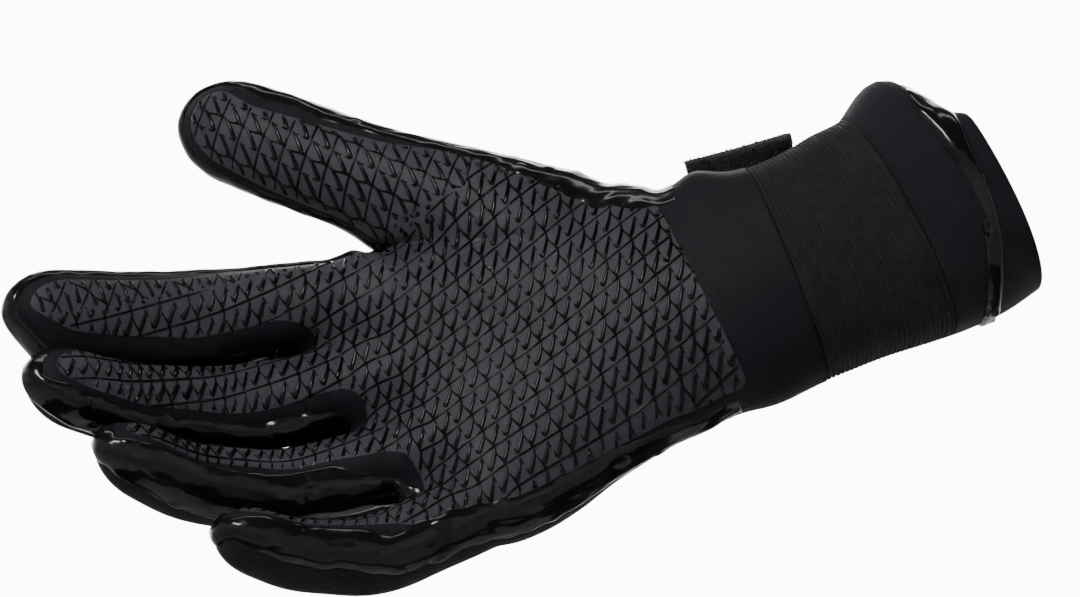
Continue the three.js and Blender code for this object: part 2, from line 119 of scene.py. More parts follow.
# at, width, palm side, back
fingerSections = np.array([
    [-0.07, 0.9, 1.0, 1.0],
    [0.1, 0.98, 1.02, 1.02],
    [0.25, 1.0, 1.0, 1.0],
    [0.37, 1.02, 1.0, 1.0],
    [0.47, 1.02, 0.98, 0.98],
    [0.59, 0.98, 0.94, 0.94],
    [0.72, 0.97, 0.91, 0.91],
    [0.84, 0.95, 0.86, 0.86],
])
thumbSections = np.array([
    [0.0, 1.05, 1.2, 0.8],
    [0.07, 1.15, 1.26, 0.88],
    [0.14, 1.22, 1.3, 0.95],
    [0.21, 1.23, 1.27, 0.99],
    [0.28, 1.22, 1.22, 1.02],
    [0.35, 1.18, 1.17, 1.03],
    [0.41, 1.13, 1.12, 1.04],
    [0.53, 1.04, 1.02, 1.02],
    [0.65, 1.0, 0.98, 0.98],
    [0.76, 1.0, 0.94, 0.94],
    [0.86, 0.97, 0.88, 0.88],
])
webSections = np.array([
    [0.0, 1.0, 1.15, 1.15],
    [0.3, 0.95, 1.05, 1.05],
    [0.55, 0.72, 0.9, 0.9],
    [0.75, 0.48, 0.72, 0.72],
])
digitKeys = ("root", "side", "angle", "length", "width", "depth")
digitRows = {
    "index": (0.79, 0.346, 9.5, 104.0, 22.5, 21.5),
    "middle": (0.81, 0.112, 3.0, 110.0, 22.5, 22.0),
    "ring": (0.77, -0.132, -4.5, 101.0, 21.5, 21.5),
    "little": (0.68, -0.372, -12.5, 82.0, 19.5, 20.5),
    "thumb": (0.18, 0.26, 38.5, 127.0, 27.0, 23.0),
    "web": (0.3, 0.22, 24.0, 54.0, 46.0, 25.0),
}
digits = {name: dict(zip(digitKeys, row)) for name, row in digitRows.items()}
fingerNames = ["index", "middle", "ring", "little"]
# at, reach, flex, sway, twist
bends = {
    "index": [[0.0, 14, 6, 2.2, 14], [0.44, 12, 14, 3, 0], [0.72, 9, 8, 2, 0]],
    "middle": [[0.0, 14, 14, 2.5, 27], [0.44, 12, 26, 0, 0], [0.72, 9, 16, 0, 0]],
    "ring": [[0.0, 14, 16, 1.5, 34], [0.44, 12, 28, 0, 0], [0.72, 9, 18, 0, 0]],
    "little": [[0.0, 14, 12, -8.5, 38], [0.44, 11, 26, 0, 0], [0.72, 8, 16, 0, 0]],
    "thumb": [[0.12, 22, 0, -1.5, -4], [0.6, 12, -4, 3, 0]],
}
pose = {
    "handSlope": 17.0,
    "wristSway": 8.0,
    "wristTurn": 14.0,
    "wristTwist": 10.0,
    "palmRoll": 25.0,
    "cupping": 56.0,
    "cup": (-0.1, 0.75),
    "wristBend": (-6.0, 62.0),
    "spineSpare": 12,
    "knuckle": (0.76, 0.12, 14.0, 12.0),
    "fork": (24.0, 18.0, 12.0, 1.0),
    "thumbGrown": (0.02, 0.4),
    "thumbNarrowed": (0.25, 0.48),
    "thumbMoved": (0.15, 0.46),
    "thumbEdge": (-0.25, -0.78),
    "thumbHalf": (18.0, 3.0),
}


def smoothstep(value, low, high):
    t = np.clip((np.asarray(value, float) - low) / (high - low), 0, 1)
    return t * t * (3 - 2 * t)


# The table's row at each place, on smooth curves through its rows
def flow(table, at):
    places = table[:, 0]
    slopes = np.gradient(table, places, axis=0)
    at = np.clip(at, places[0], places[-1])
    i = np.clip(np.searchsorted(places, at, side="right") - 1, 0, len(places) - 2)
    span = places[i + 1] - places[i]
    t = ((at - places[i]) / span)[:, None]
    span = span[:, None]
    a, b = table[i], table[i + 1]
    return (
        (2 * t**3 - 3 * t**2 + 1) * a
        + (t**3 - 2 * t**2 + t) * span * slopes[i]
        + (-2 * t**3 + 3 * t**2) * b
        + (t**3 - t**2) * span * slopes[i + 1]
    )


def matrixX(angle):
    c, s = math.cos(math.radians(angle)), math.sin(math.radians(angle))
    return np.array([[1, 0, 0], [0, c, -s], [0, s, c]])


def matrixY(angle):
    c, s = math.cos(math.radians(angle)), math.sin(math.radians(angle))
    return np.array([[c, 0, s], [0, 1, 0], [-s, 0, c]])


def matrixZ(angle):
    c, s = math.cos(math.radians(angle)), math.sin(math.radians(angle))
    return np.array([[c, -s, 0], [s, c, 0], [0, 0, 1]])


def turned(turn, flex, sway, twist):
    return turn @ matrixZ(flex) @ matrixY(sway) @ matrixX(-twist)


# A spine is a row of places and turns a millimetre apart
def spineOf(place, turn, length, joints, way=1):
    places, turns = [np.array(place, float)], [turn]
    for step in range(1, int(length) + 1):
        now = turns[-1]
        for low, high, flex, sway, twist in joints:
            share = float(smoothstep(step, low, high) - smoothstep(step - 1, low, high))
            if share > 0:
                now = turned(now, flex * share, sway * share, twist * share)
        places.append(places[-1] + way * (now @ np.array([-1.0, 0, 0])))
        turns.append(now)
    return np.array(places), np.array(turns)


def onSpine(spine, along, side, y):
    places, turns = spine
    place = np.clip(along, 0, len(places) - 1)
    low = np.minimum(place.astype(int), len(places) - 2)
    share = (place - low)[:, None]
    turn = turns[low] * (1 - share[..., None]) + turns[low + 1] * share[..., None]
    offset = np.stack([-(along - place), y, side], axis=1)
    base = places[low] * (1 - share) + places[low + 1] * share
    return base + np.einsum("nij,nj->ni", turn, offset)


handTurn = turned(np.eye(3), 0, -pose["handSlope"], 0)
wristSpine = spineOf(
    (0, 0, 0), handTurn, hand["wristLength"] + pose["spineSpare"],
    [(*pose["wristBend"], pose["wristTurn"], -pose["wristSway"], -pose["wristTwist"])], -1,
)


def cupAt(along):
    low, high = pose["cup"]
    length = hand["palmLength"]
    return pose["cupping"] * smoothstep(along, low * length, high * length) / hand["palmWidth"]


def palmPoint(along, side, y):
    cup = np.radians(cupAt(along))
    middle = math.radians(pose["palmRoll"])
    roll = middle - cup * side
    safe = np.maximum(cup, 1e-6)
    curled = cup > 1e-6
    across = np.where(curled, (np.cos(roll) - math.cos(middle)) / safe, math.sin(middle) * side)
    up = np.where(curled, (math.sin(middle) - np.sin(roll)) / safe, math.cos(middle) * side)
    inY = across + y * np.cos(roll)
    inZ = up - y * np.sin(roll)
    ahead = np.stack([-along, inY, inZ], axis=1) @ handTurn.T
    behind = onSpine(wristSpine, -along, inZ, inY)
    return np.where((along >= 0)[:, None], ahead, behind)


def rootOf(digit):
    return digit["root"] * hand["palmLength"], digit["side"] * hand["palmWidth"]


def digitSpine(name):
    digit = digits[name]
    along, side = rootOf(digit)
    roll = pose["palmRoll"] - float(cupAt(along)) * side
    turn = turned(turned(handTurn, 0, 0, roll), 0, digit["angle"], 0)
    joints = [
        (at * digit["length"] - reach, at * digit["length"] + reach, flex, sway, twist)
        for at, reach, flex, sway, twist in bends[name]
    ]
    start = palmPoint(np.array([along]), np.array([side]), np.array([0.0]))[0]
    return spineOf(start, turn, digit["length"] + pose["spineSpare"], joints)


spines = {name: digitSpine(name) for name in bends}


def local(digit, along, side):
    rootAlong, rootSide = rootOf(digit)
    c, s = math.cos(math.radians(digit["angle"])), math.sin(math.radians(digit["angle"]))
    return (
        (along - rootAlong) * c + (side - rootSide) * s,
        (side - rootSide) * c - (along - rootAlong) * s,
    )


# Flat x and z of a place on a digit, the other way round
def onFlat(digit, ahead, across):
    rootAlong, rootSide = rootOf(digit)
    c, s = math.cos(math.radians(digit["angle"])), math.sin(math.radians(digit["angle"]))
    return -(rootAlong + c * ahead - s * across), rootSide + s * ahead + c * across


def forkShift(side, share):
    return hand["forkLean"] * (side - side**2 / hand["palmWidth"]) * share**2


def smoothRange(value, middle, half):
    t = np.clip((value - middle + half) / (2 * half), 0, 1)
    return t * t * (3 - 2 * t)


def thumbShare(along, side):
    thumb = digits["thumb"]
    ahead, across = local(thumb, along, side)
    at = ahead / thumb["length"]
    wide, narrow = pose["thumbHalf"]
    half = wide + (narrow - wide) * smoothstep(at, *pose["thumbNarrowed"])
    low, high = pose["thumbEdge"]
    edge = (low + (high - low) * smoothstep(at, *pose["thumbMoved"])) * thumb["width"]
    return smoothstep(at, *pose["thumbGrown"]) * smoothRange(across, edge, half)


def fingersPoint(along, side, y):
    axes = []
    for name in fingerNames:
        rootAlong, rootSide = rootOf(digits[name])
        axes.append(rootSide + (along - rootAlong) * math.tan(math.radians(digits[name]["angle"])))
    shares = [np.ones_like(along) for _ in fingerNames]
    before, after, wide, narrow = pose["fork"]
    for i in range(len(fingerNames) - 1):
        w, v = digits[fingerNames[i]]["width"], digits[fingerNames[i + 1]]["width"]
        border = axes[i] + (axes[i + 1] - axes[i]) * w / (w + v)
        fork = hand["palmLength"] + forkShift(border, 1)
        opened = smoothRange(along, fork + (after - before) / 2, (after + before) / 2)
        upper = smoothRange(side, border, wide + (narrow - wide) * opened)
        for k in range(i + 1):
            shares[k] = shares[k] * upper
        for k in range(i + 1, len(fingerNames)):
            shares[k] = shares[k] * (1 - upper)
    total = sum(shares)
    point = np.zeros((len(along), 3))
    for name, share in zip(fingerNames, shares):
        ahead, across = local(digits[name], along, side)
        point += onSpine(spines[name], ahead, across, y) * (share / total)[:, None]
    return point


def posedRaw(points):
    along, y, side = -points[:, 0], points[:, 1], points[:, 2]
    point = palmPoint(along, side, y)
    at, lean, before, after = pose["knuckle"]
    knuckles = hand["palmLength"] * (at + lean * np.clip(side / hand["palmWidth"], -0.5, 0.5))
    past = smoothRange(along, knuckles + (after - before) / 2, (after + before) / 2)[:, None]
    point = point * (1 - past) + fingersPoint(along, side, y) * past
    thumb = thumbShare(along, side)[:, None]
    ahead, across = local(digits["thumb"], along, side)
    return point * (1 - thumb) + onSpine(spines["thumb"], ahead, across, y) * thumb


wristLean = handSections[0, 4] * hand["palmWidth"]
mouth = posedRaw(np.array([[hand["wristLength"], 0, wristLean]]))[0]


def posed(points):
    return (posedRaw(np.asarray(points, float)) - mouth) * mm


# The glove drawn flat: x minus to the fingertips, y minus out of the palm, z plus to the
# thumb side; every piece is shaped there first and then put into the pose
def trunkTable():
    rows = []
    for at, width, depth in wristSections[::-1]:
        half = depth * hand["wristDepth"] / 2
        rows.append([
            -at * hand["wristLength"], width * hand["wristWidth"] / 2, half, half,
            wristLean, hand["wristSquare"], 0.0,
        ])
    for at, width, palm, back, lean, square in handSections:
        rows.append([
            at * hand["palmLength"], width * hand["palmWidth"] / 2, palm * hand["palmDepth"] / 2,
            back * hand["palmDepth"] / 2, lean * hand["palmWidth"], square, at,
        ])
    return np.array(rows)


trunk = trunkTable()


# Evenly spaced turns once round
def around(sides):
    return np.linspace(0, 2 * math.pi, sides, endpoint=False)[None, :]


def sectionPoint(turn, halfWidth, halfPalm, halfBack, square):
    c, s = np.cos(turn), np.sin(turn)
    across = np.sign(c) * np.abs(c) ** (2 / square)
    up = np.sign(s) * np.abs(s) ** (2 / square)
    return -up * np.where(up > 0, halfPalm, halfBack), across * halfWidth


# Points of the hand and wrist, at a place along them and a turn round them
def trunkPoint(along, turn, grow=0.0):
    shape = np.broadcast(along, turn).shape
    along = np.broadcast_to(along, shape).ravel()
    turn = np.broadcast_to(turn, shape).ravel()
    row = flow(trunk, along)
    y, z = sectionPoint(turn, row[:, 1] + grow, row[:, 2] + grow, row[:, 3] + grow, row[:, 5])
    reach = along + grow * row[:, 6] + forkShift(z, row[:, 6])
    return np.stack([-reach, y, z + row[:, 4]], axis=1).reshape(*shape, 3)


def digitRings(name, sections, rings, sides, grow=0.0):
    digit = digits[name]
    last = sections[-1]
    at = np.linspace(sections[0, 0], last[0], rings)
    row = flow(sections, at)
    along = at * digit["length"]
    full = np.array([digit["width"], digit["depth"], digit["depth"]])
    halves = row[:, 1:] * full / 2 + grow
    up = np.radians(np.linspace(0, 88, 12)[1:])
    start = along[-1]
    reach = digit["length"] + grow - start
    along = np.concatenate([along, start + reach * np.sin(up)])
    halves = np.concatenate([halves, halves[-1] * np.cos(up)[:, None]])
    y, across = sectionPoint(around(sides), *halves.T[:, :, None], hand["digitSquare"])
    x, z = onFlat(digit, np.broadcast_to(along[:, None], across.shape), across)
    return np.stack([x, y, z], axis=2)


def gridFaces(rows, columns, start=0, closeRows=False):
    r = np.arange(rows if closeRows else rows - 1)
    c = np.arange(columns)
    a = start + r[:, None] * columns + c[None, :]
    b = start + r[:, None] * columns + ((c + 1) % columns)[None, :]
    nextRow = (r + 1) % rows
    d = start + nextRow[:, None] * columns + c[None, :]
    e = start + nextRow[:, None] * columns + ((c + 1) % columns)[None, :]
    return np.stack([a, d, e, b], axis=2).reshape(-1, 4)


# Faces of a tube of rings, closed at both ends
def tubeFaces(rows, sides, start=0):
    faces = gridFaces(rows, sides, start).tolist()
    last = start + (rows - 1) * sides
    return faces + [list(range(start, start + sides)), list(range(last, last + sides))[::-1]]


def meshFrom(name, points, faces):
    mesh = bpy.data.meshes.new(name)
    points = np.asarray(points, np.float32).reshape(-1, 3)
    loops = [len(f) for f in faces]
    mesh.vertices.add(len(points))
    mesh.vertices.foreach_set("co", points.ravel())
    mesh.loops.add(sum(loops))
    corners = np.concatenate([np.asarray(f, np.int32) for f in faces])
    mesh.loops.foreach_set("vertex_index", corners)
    mesh.polygons.add(len(loops))
    starts = np.concatenate([[0], np.cumsum(loops)[:-1]])
    mesh.polygons.foreach_set("loop_start", starts.astype(np.int32))
    mesh.update(calc_edges=True)
    mesh.validate()
    return mesh


def objectFrom(name, mesh):
    item = bpy.data.objects.new(name, mesh)
    bpy.context.scene.collection.objects.link(item)
    return item


def facesOut(mesh):
    work = bmesh.new()
    work.from_mesh(mesh)
    bmesh.ops.recalc_face_normals(work, faces=work.faces)
    if work.calc_volume(signed=True) < 0:
        bmesh.ops.reverse_faces(work, faces=work.faces)
    work.to_mesh(mesh)
    work.free()


# The plain mesh that an object's modifiers give, in place of the object
def baked(item, name=None):
    bpy.context.view_layer.update()
    shown = item.evaluated_get(bpy.context.evaluated_depsgraph_get())
    mesh = bpy.data.meshes.new_from_object(shown)
    mesh.name = name or item.name
    old = item.data
    bpy.data.objects.remove(item)
    if old.users == 0:
        bpy.data.meshes.remove(old)
    return mesh


def coordinates(mesh):
    points = np.empty(len(mesh.vertices) * 3, np.float32)
    mesh.vertices.foreach_get("co", points)
    return points.reshape(-1, 3).astype(float)


def normalsOf(mesh):
    values = np.empty(len(mesh.vertices) * 3, np.float32)
    mesh.vertex_normals.foreach_get("vector", values)
    return values.reshape(-1, 3).astype(float)


def setPoints(mesh, points):
    mesh.vertices.foreach_set("co", np.asarray(points, np.float32).ravel())
    mesh.update()


def setAttribute(mesh, name, values):
    values = np.asarray(values, np.float32)
    kind = "FLOAT" if values.ndim == 1 else "FLOAT_VECTOR"
    data = mesh.attributes.get(name) or mesh.attributes.new(name, kind, "POINT")
    data.data.foreach_set("value" if kind == "FLOAT" else "vector", values.ravel())


# Keeps each point's place on the flat drawing, then puts the mesh into the pose
def intoPose(mesh, flatPoints, lifted=None):
    setAttribute(mesh, "flatPlace", flatPoints)
    setPoints(mesh, posed(flatPoints if lifted is None else lifted))
    facesOut(mesh)


def smoothShaded(mesh):
    mesh.polygons.foreach_set("use_smooth", np.ones(len(mesh.polygons), bool))
    mesh.update()


form = {
    "voxel": 1.1,
    "smoothing": 7,
    "grow": 0.2,  # makes up for what the smoothing takes
    "sides": 56,
    "trunkRings": 110,
    "fingerRings": 60,
    "thumbRings": 70,
    "webRings": 40,
}


def flatForm():
    sides = form["sides"]
    along = np.linspace(trunk[0, 0], trunk[-1, 0], form["trunkRings"])[:, None]
    blocks = [trunkPoint(along, around(sides), form["grow"])]
    tables = [(name, fingerSections, form["fingerRings"]) for name in fingerNames]
    tables.append(("thumb", thumbSections, form["thumbRings"]))
    tables.append(("web", webSections, form["webRings"]))
    for name, sections, rings in tables:
        blocks.append(digitRings(name, sections, rings, sides, form["grow"]))
    points, faces, start = [], [], 0
    for block in blocks:
        rows = len(block)
        points.append(block.reshape(-1, 3))
        faces += tubeFaces(rows, sides, start)
        start += rows * sides
    mesh = meshFrom("flatForm", np.concatenate(points), faces)
    facesOut(mesh)
    item = objectFrom("flatForm", mesh)
    remesh = item.modifiers.new("remesh", "REMESH")
    remesh.mode = "VOXEL"
    remesh.voxel_size = form["voxel"]
    smooth = item.modifiers.new("smooth", "SMOOTH")
    smooth.factor = 0.5
    smooth.iterations = form["smoothing"]
    return baked(item)


# Small bulges on the thumb side: flat x, how long, how high
bulges = [(-15.5, 10.0, 3.4), (8.0, 6.5, 2.3), (-3.5, 3.0, -0.6)]
# The index finger is wider towards the middle finger: from where on, by how much
indexGrown = {"from": (36.0, 58.0), "till": (92.0, 103.0), "high": 4.3}
webFill = {"place": (-76.0, 51.0), "size": 8.0, "high": 2.6}


# The fold where the thumb leaves the hand's edge, made round: flat x and z, reach, passes
thumbFold = {"place": (-16.5, 41.5), "reach": 10.0, "passes": 45}


def bulged(mesh):
    points, normals = coordinates(mesh), normalsOf(mesh)
    lift = np.zeros(len(points))
    for x, size, high in bulges:
        lift += high * np.exp(-(((points[:, 0] - x) / size) ** 2))
    side = smoothstep(normals[:, 2], 0.25, 0.9)
    x, z = webFill["place"]
    near = np.exp(-(((points[:, 0] - x) ** 2 + (points[:, 2] - z) ** 2) / webFill["size"] ** 2))
    ahead, across = local(digits["index"], -points[:, 0], points[:, 2])
    grown = smoothstep(ahead, *indexGrown["from"]) * (1 - smoothstep(ahead, *indexGrown["till"]))
    reach = digits["index"]["width"] / 2
    lowSide = (across < 0) * (across > -reach - 1.2)
    grown = grown * lowSide * smoothstep(-across, 0.25 * reach, reach)
    lift = lift * side + webFill["high"] * near * (1 - np.abs(normals[:, 1]))
    away = np.stack([np.zeros(len(points)), np.zeros(len(points)), -grown], axis=1)
    points = points + away * indexGrown["high"]
    setPoints(mesh, points + normals * lift[:, None])
    work = bmesh.new()
    work.from_mesh(mesh)
    x, z = thumbFold["place"]
    near = [v for v in work.verts if math.hypot(v.co.x - x, v.co.z - z) < thumbFold["reach"]]
    for _ in range(thumbFold["passes"]):
        bmesh.ops.smooth_vert(
            work, verts=near, factor=0.5, use_axis_x=True, use_axis_y=True, use_axis_z=True
        )
    work.to_mesh(mesh)
    work.free()
    return mesh


flat = bulged(flatForm())
flatTree = BVHTree.FromPolygons(
    [v.co for v in flat.vertices], [p.vertices for p in flat.polygons], all_triangles=False
)
print("flat form", len(flat.vertices))


def material(name):
    item = bpy.data.materials.new(name)
    item.use_nodes = True
    nodes, links = item.node_tree.nodes, item.node_tree.links
    shader = nodes["Principled BSDF"]
    return item, nodes, links, shader


def addNode(nodes, kind, **values):
    node = nodes.new(kind)
    for key, value in values.items():
        if hasattr(node, key):
            setattr(node, key, value)
        else:
            node.inputs[key.replace("_", " ")].default_value = value
    return node


# A colour between two, by a node's value, into a socket
def mixed(nodes, links, low, high, share, target):
    mix = addNode(nodes, "ShaderNodeMix", data_type="RGBA")
    mix.inputs[6].default_value = low
    mix.inputs[7].default_value = high
    links.new(share.outputs["Fac"], mix.inputs[0])
    links.new(mix.outputs[2], target)


# A number between two, by a socket's value, into another socket
def ranged(nodes, links, source, low, high, target, spanFrom=(0.0, 1.0)):
    span = nodes.new("ShaderNodeMapRange")
    span.inputs["From Min"].default_value, span.inputs["From Max"].default_value = spanFrom
    span.inputs["To Min"].default_value = low
    span.inputs["To Max"].default_value = high
    links.new(source, span.inputs["Value"])
    links.new(span.outputs["Result"], target)


jersey = {
    "colour": (0.0052, 0.0052, 0.0073, 1),
    "light": (0.0078, 0.0078, 0.0108, 1),
    "knitPerMm": 1.5,
    "depth": 0.0002,
    "spread": 0.08,
    "roughness": (0.74, 0.9),
    "sheen": 0.04,
    "specular": 0.12,
}


# Knit grain on the flat drawing's places, so that it follows the cloth into the pose
def knitBump(nodes, links, shader, perMm, depth, spread):
    place = addNode(nodes, "ShaderNodeAttribute", attribute_name="flatPlace")
    knit = addNode(nodes, "ShaderNodeTexVoronoi", Scale=perMm)
    grain = addNode(nodes, "ShaderNodeTexNoise", Scale=spread, Detail=4.0)
    links.new(place.outputs["Vector"], knit.inputs["Vector"])
    links.new(place.outputs["Vector"], grain.inputs["Vector"])
    bump = addNode(nodes, "ShaderNodeBump", Strength=0.5, Distance=depth)
    links.new(knit.outputs["Distance"], bump.inputs["Height"])
    links.new(bump.outputs["Normal"], shader.inputs["Normal"])
    return grain, bump


# A knitted or pile cloth with a soft mottling between two colours
def clothFinish(name, cloth):
    item, nodes, links, shader = material(name)
    grain, _ = knitBump(nodes, links, shader, cloth["knitPerMm"], cloth["depth"], cloth["spread"])
    mixed(nodes, links, cloth["colour"], cloth["light"], grain, shader.inputs["Base Color"])
    rough = cloth["roughness"]
    if isinstance(rough, tuple):
        ranged(nodes, links, grain.outputs["Fac"], *rough, shader.inputs["Roughness"])
    else:
        shader.inputs["Roughness"].default_value = rough
    shader.inputs["Specular IOR Level"].default_value = cloth["specular"]
    if "sheen" in cloth:
        shader.inputs["Sheen Weight"].default_value = cloth["sheen"]
        shader.inputs["Sheen Roughness"].default_value = 0.5
    return item


palmCoat = {
    "grey": (0.029, 0.0268, 0.0325, 1),
    "greyLight": (0.037, 0.0343, 0.0412, 1),
    "border": (0.0048, 0.0048, 0.007, 1),
    "specular": 0.1,
    "roughness": (0.62, 0.5),  # outside the print's edge and inside it
    "edgeWidth": 0.35,
    "raised": 0.00025,
}


# The grey ground of the grip print, up to its edge, on black neoprene
def palmFinish():
    item, nodes, links, shader = material("palmCoat")
    grain, bump = knitBump(nodes, links, shader, jersey["knitPerMm"], 0.00015, 0.15)
    edge = addNode(nodes, "ShaderNodeAttribute", attribute_name="printInset")
    inside = addNode(nodes, "ShaderNodeMapRange", interpolation_type="SMOOTHSTEP")
    inside.inputs["From Min"].default_value = -palmCoat["edgeWidth"] / 2
    inside.inputs["From Max"].default_value = palmCoat["edgeWidth"] / 2
    links.new(edge.outputs["Fac"], inside.inputs["Value"])
    coat = addNode(nodes, "ShaderNodeMix", data_type="RGBA")
    coat.inputs[6].default_value = palmCoat["border"]
    links.new(inside.outputs["Result"], coat.inputs[0])
    mixed(nodes, links, palmCoat["grey"], palmCoat["greyLight"], grain, coat.inputs[7])
    links.new(coat.outputs[2], shader.inputs["Base Color"])
    step = addNode(nodes, "ShaderNodeBump", Strength=1.0, Distance=palmCoat["raised"])
    links.new(inside.outputs["Result"], step.inputs["Height"])
    links.new(bump.outputs["Normal"], step.inputs["Normal"])
    links.new(step.outputs["Normal"], shader.inputs["Normal"])
    inner = inside.outputs["Result"]
    ranged(nodes, links, inner, *palmCoat["roughness"], shader.inputs["Roughness"])
    shader.inputs["Specular IOR Level"].default_value = palmCoat["specular"]
    return item


liquidRubber = {
    "colour": (0.0035, 0.0035, 0.0042, 1),
    "roughness": (0.17, 0.26),
    "light": (0.0049, 0.0049, 0.00588, 1),
    "specular": 0.1,
    "coat": 0.2,
    "coatRoughness": 0.08,
    "perMm": 0.35,
    "detail": 5.0,
    "cloudFrom": (0.3, 0.7),
    "bump": 0.0003,
}


# Glossy rubber, clouded between two colours; the seal's also has a bump and a clear coat
def rubberFinish(name, rubber):
    item, nodes, links, shader = material(name)
    place = addNode(nodes, "ShaderNodeAttribute", attribute_name="flatPlace")
    cloud = addNode(nodes, "ShaderNodeTexNoise", Scale=rubber["perMm"], Detail=rubber["detail"])
    links.new(place.outputs["Vector"], cloud.inputs["Vector"])
    share, dull = cloud.outputs["Fac"], rubber["roughness"]
    ranged(nodes, links, share, *dull, shader.inputs["Roughness"], rubber["cloudFrom"])
    mixed(nodes, links, rubber["colour"], rubber["light"], cloud, shader.inputs["Base Color"])
    shader.inputs["Specular IOR Level"].default_value = rubber["specular"]
    if "coat" in rubber:
        bump = addNode(nodes, "ShaderNodeBump", Strength=0.2, Distance=rubber["bump"])
        links.new(share, bump.inputs["Height"])
        links.new(bump.outputs["Normal"], shader.inputs["Normal"])
        shader.inputs["Coat Weight"].default_value = rubber["coat"]
        shader.inputs["Coat Roughness"].default_value = rubber["coatRoughness"]
    return item


blackJersey = clothFinish("blackJersey", jersey)
palmCoatFinish = palmFinish()
sealRubber = rubberFinish("liquidRubber", liquidRubber)


def finished(mesh, name, finish, nodesReplaced):
    smoothShaded(mesh)
    mesh.materials.clear()
    mesh.materials.append(finish)
    item = objectFrom(name, mesh)
    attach(item, "root")
    if nodesReplaced:
        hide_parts(*nodesReplaced)
    return item


# Panels: the flat form's two halves, each a 3 mm wall
panel = {
    "end": 24.0,  # crease to the elastic band
    "gap": 0.3,
    "printMargin": 7.6,  # seam to the grip print
    "topMargin": (3.6, 3.6, 2.4),  # more on the thumb's upper side: all along, thumb, heel
    "ripple": 0.35,
    "rippleSize": 26.0,
}


def cutSheet(mesh, name, planes):
    work = bmesh.new()
    work.from_mesh(mesh)
    for place, normal in planes:
        geometry = work.verts[:] + work.edges[:] + work.faces[:]
        bmesh.ops.bisect_plane(
            work, geom=geometry, plane_co=place, plane_no=normal, clear_outer=True, dist=1e-4
        )
    sheet = bpy.data.meshes.new(name)
    work.to_mesh(sheet)
    work.free()
    return sheet


def outlineTree():
    section = cutSheet(flat, "section", [((0, 0, 0), (0, 1, 0))])
    points = coordinates(section)
    rim = points[np.abs(points[:, 1]) < 1e-3]
    tree = kdtree.KDTree(len(rim))
    for i, point in enumerate(rim):
        tree.insert(point, i)
    tree.balance()
    bpy.data.meshes.remove(section)
    return tree


rimTree = outlineTree()
# The print ends at the heel of the hand on this line, from thumb side to little-finger side
heelLine = {"thumbSide": (-4.0, 31.0), "littleSide": (4.5, -22.0), "round": 5.0}
# Between thumb and index the print comes closer to the seam: place, reach, share
webMargin = {"place": (-78.0, 55.0), "reach": (18.0, 62.0), "least": 0.5}


def soften(a, b, width):
    h = np.clip(0.5 + 0.5 * (b - a) / width, 0, 1)
    return b * (1 - h) + a * h - width * h * (1 - h)


# Crotches between index, middle, ring and little finger, flat x and z
crotches = [(-108.3, 24.7), (-98.6, -1.6), (-89.9, -28.1)]
lobe = {"grown": 4.5, "size": 10.0}  # the border's rounded end at each crotch


def nearCrotch(points, size, shift=0.0):
    near = np.zeros(len(points))
    for x, z in crotches:
        away = (points[:, 0] - x - shift) ** 2 + (points[:, 2] - z - 2.0) ** 2
        near = np.maximum(near, np.exp(-away / size**2))
    return near


# How much wider the black border is on each finger's side towards the little finger
borderGrown = {"index": 4.2, "middle": 2.4, "ring": 8.0, "little": 11.0}


# Share of each finger at the places, nought on the palm, and how far across it they lie
def onFingers(points):
    along, side = -points[:, 0], points[:, 2]
    past = smoothstep(along, 0.86 * hand["palmLength"], 1.12 * hand["palmLength"])
    across = np.stack([local(digits[name], along, side)[1] for name in fingerNames])
    nearest = np.argmin(np.abs(across), axis=0)
    return past, across[nearest, np.arange(len(points))], nearest


# Share of the upper side of the thumb and of the hand's edge behind it
def onThumbTop(points):
    ahead, across = local(digits["thumb"], -points[:, 0], points[:, 2])
    tip = 1 - smoothstep(ahead, digits["thumb"]["length"] - 22, digits["thumb"]["length"] - 6)
    edge = smoothstep(points[:, 0], -60.0, -42.0) * smoothstep(points[:, 2], 6.0, 16.0)
    return np.maximum(smoothstep(across, 1.0, 8.0), edge) * tip


# Share of the heel of the hand, behind the thumb
def heelShare(points):
    return smoothstep(points[:, 0], -32.0, -14.0)


def marginAt(points):
    x, z = webMargin["place"]
    away = np.hypot(points[:, 0] - x, points[:, 2] - z)
    share = 1 - smoothstep(away, *webMargin["reach"])
    margin = panel["printMargin"] * (1 - (1 - webMargin["least"]) * share)
    past, across, nearest = onFingers(points)
    grown = np.array([borderGrown[name] for name in fingerNames])[nearest]
    top = onThumbTop(points)
    proper = smoothstep(-points[:, 0], 40.0, 70.0)
    shares = np.stack([np.ones(len(points)), proper, heelShare(points)])
    more = np.array(panel["topMargin"]) @ shares
    margin = margin + more * top + lobe["grown"] * nearCrotch(points, lobe["size"])
    return margin + grown * past * smoothstep(-across, -1.0, 7.0)


def printInset(points):
    points = np.asarray(points, float)
    inset = np.array([rimTree.find(p)[2] for p in points]) - marginAt(points)
    (xa, za), (xb, zb) = heelLine["thumbSide"], heelLine["littleSide"]
    length = math.hypot(xb - xa, zb - za)
    ahead = ((points[:, 0] - xa) * (zb - za) - (points[:, 2] - za) * (xb - xa)) / length
    return soften(ahead, inset, heelLine["round"])


def ripples(points, size, seed):
    offset = Vector((seed * 13.7, seed * 5.1, seed * 9.3))
    return np.array([noise.noise(Vector(p) / size + offset) for p in points])


def walled(mesh, name, thickness):
    item = objectFrom(name, mesh)
    solid = item.modifiers.new("wall", "SOLIDIFY")
    solid.thickness = thickness * mm
    solid.offset = -1
    solid.use_rim = True
    return baked(item, name)


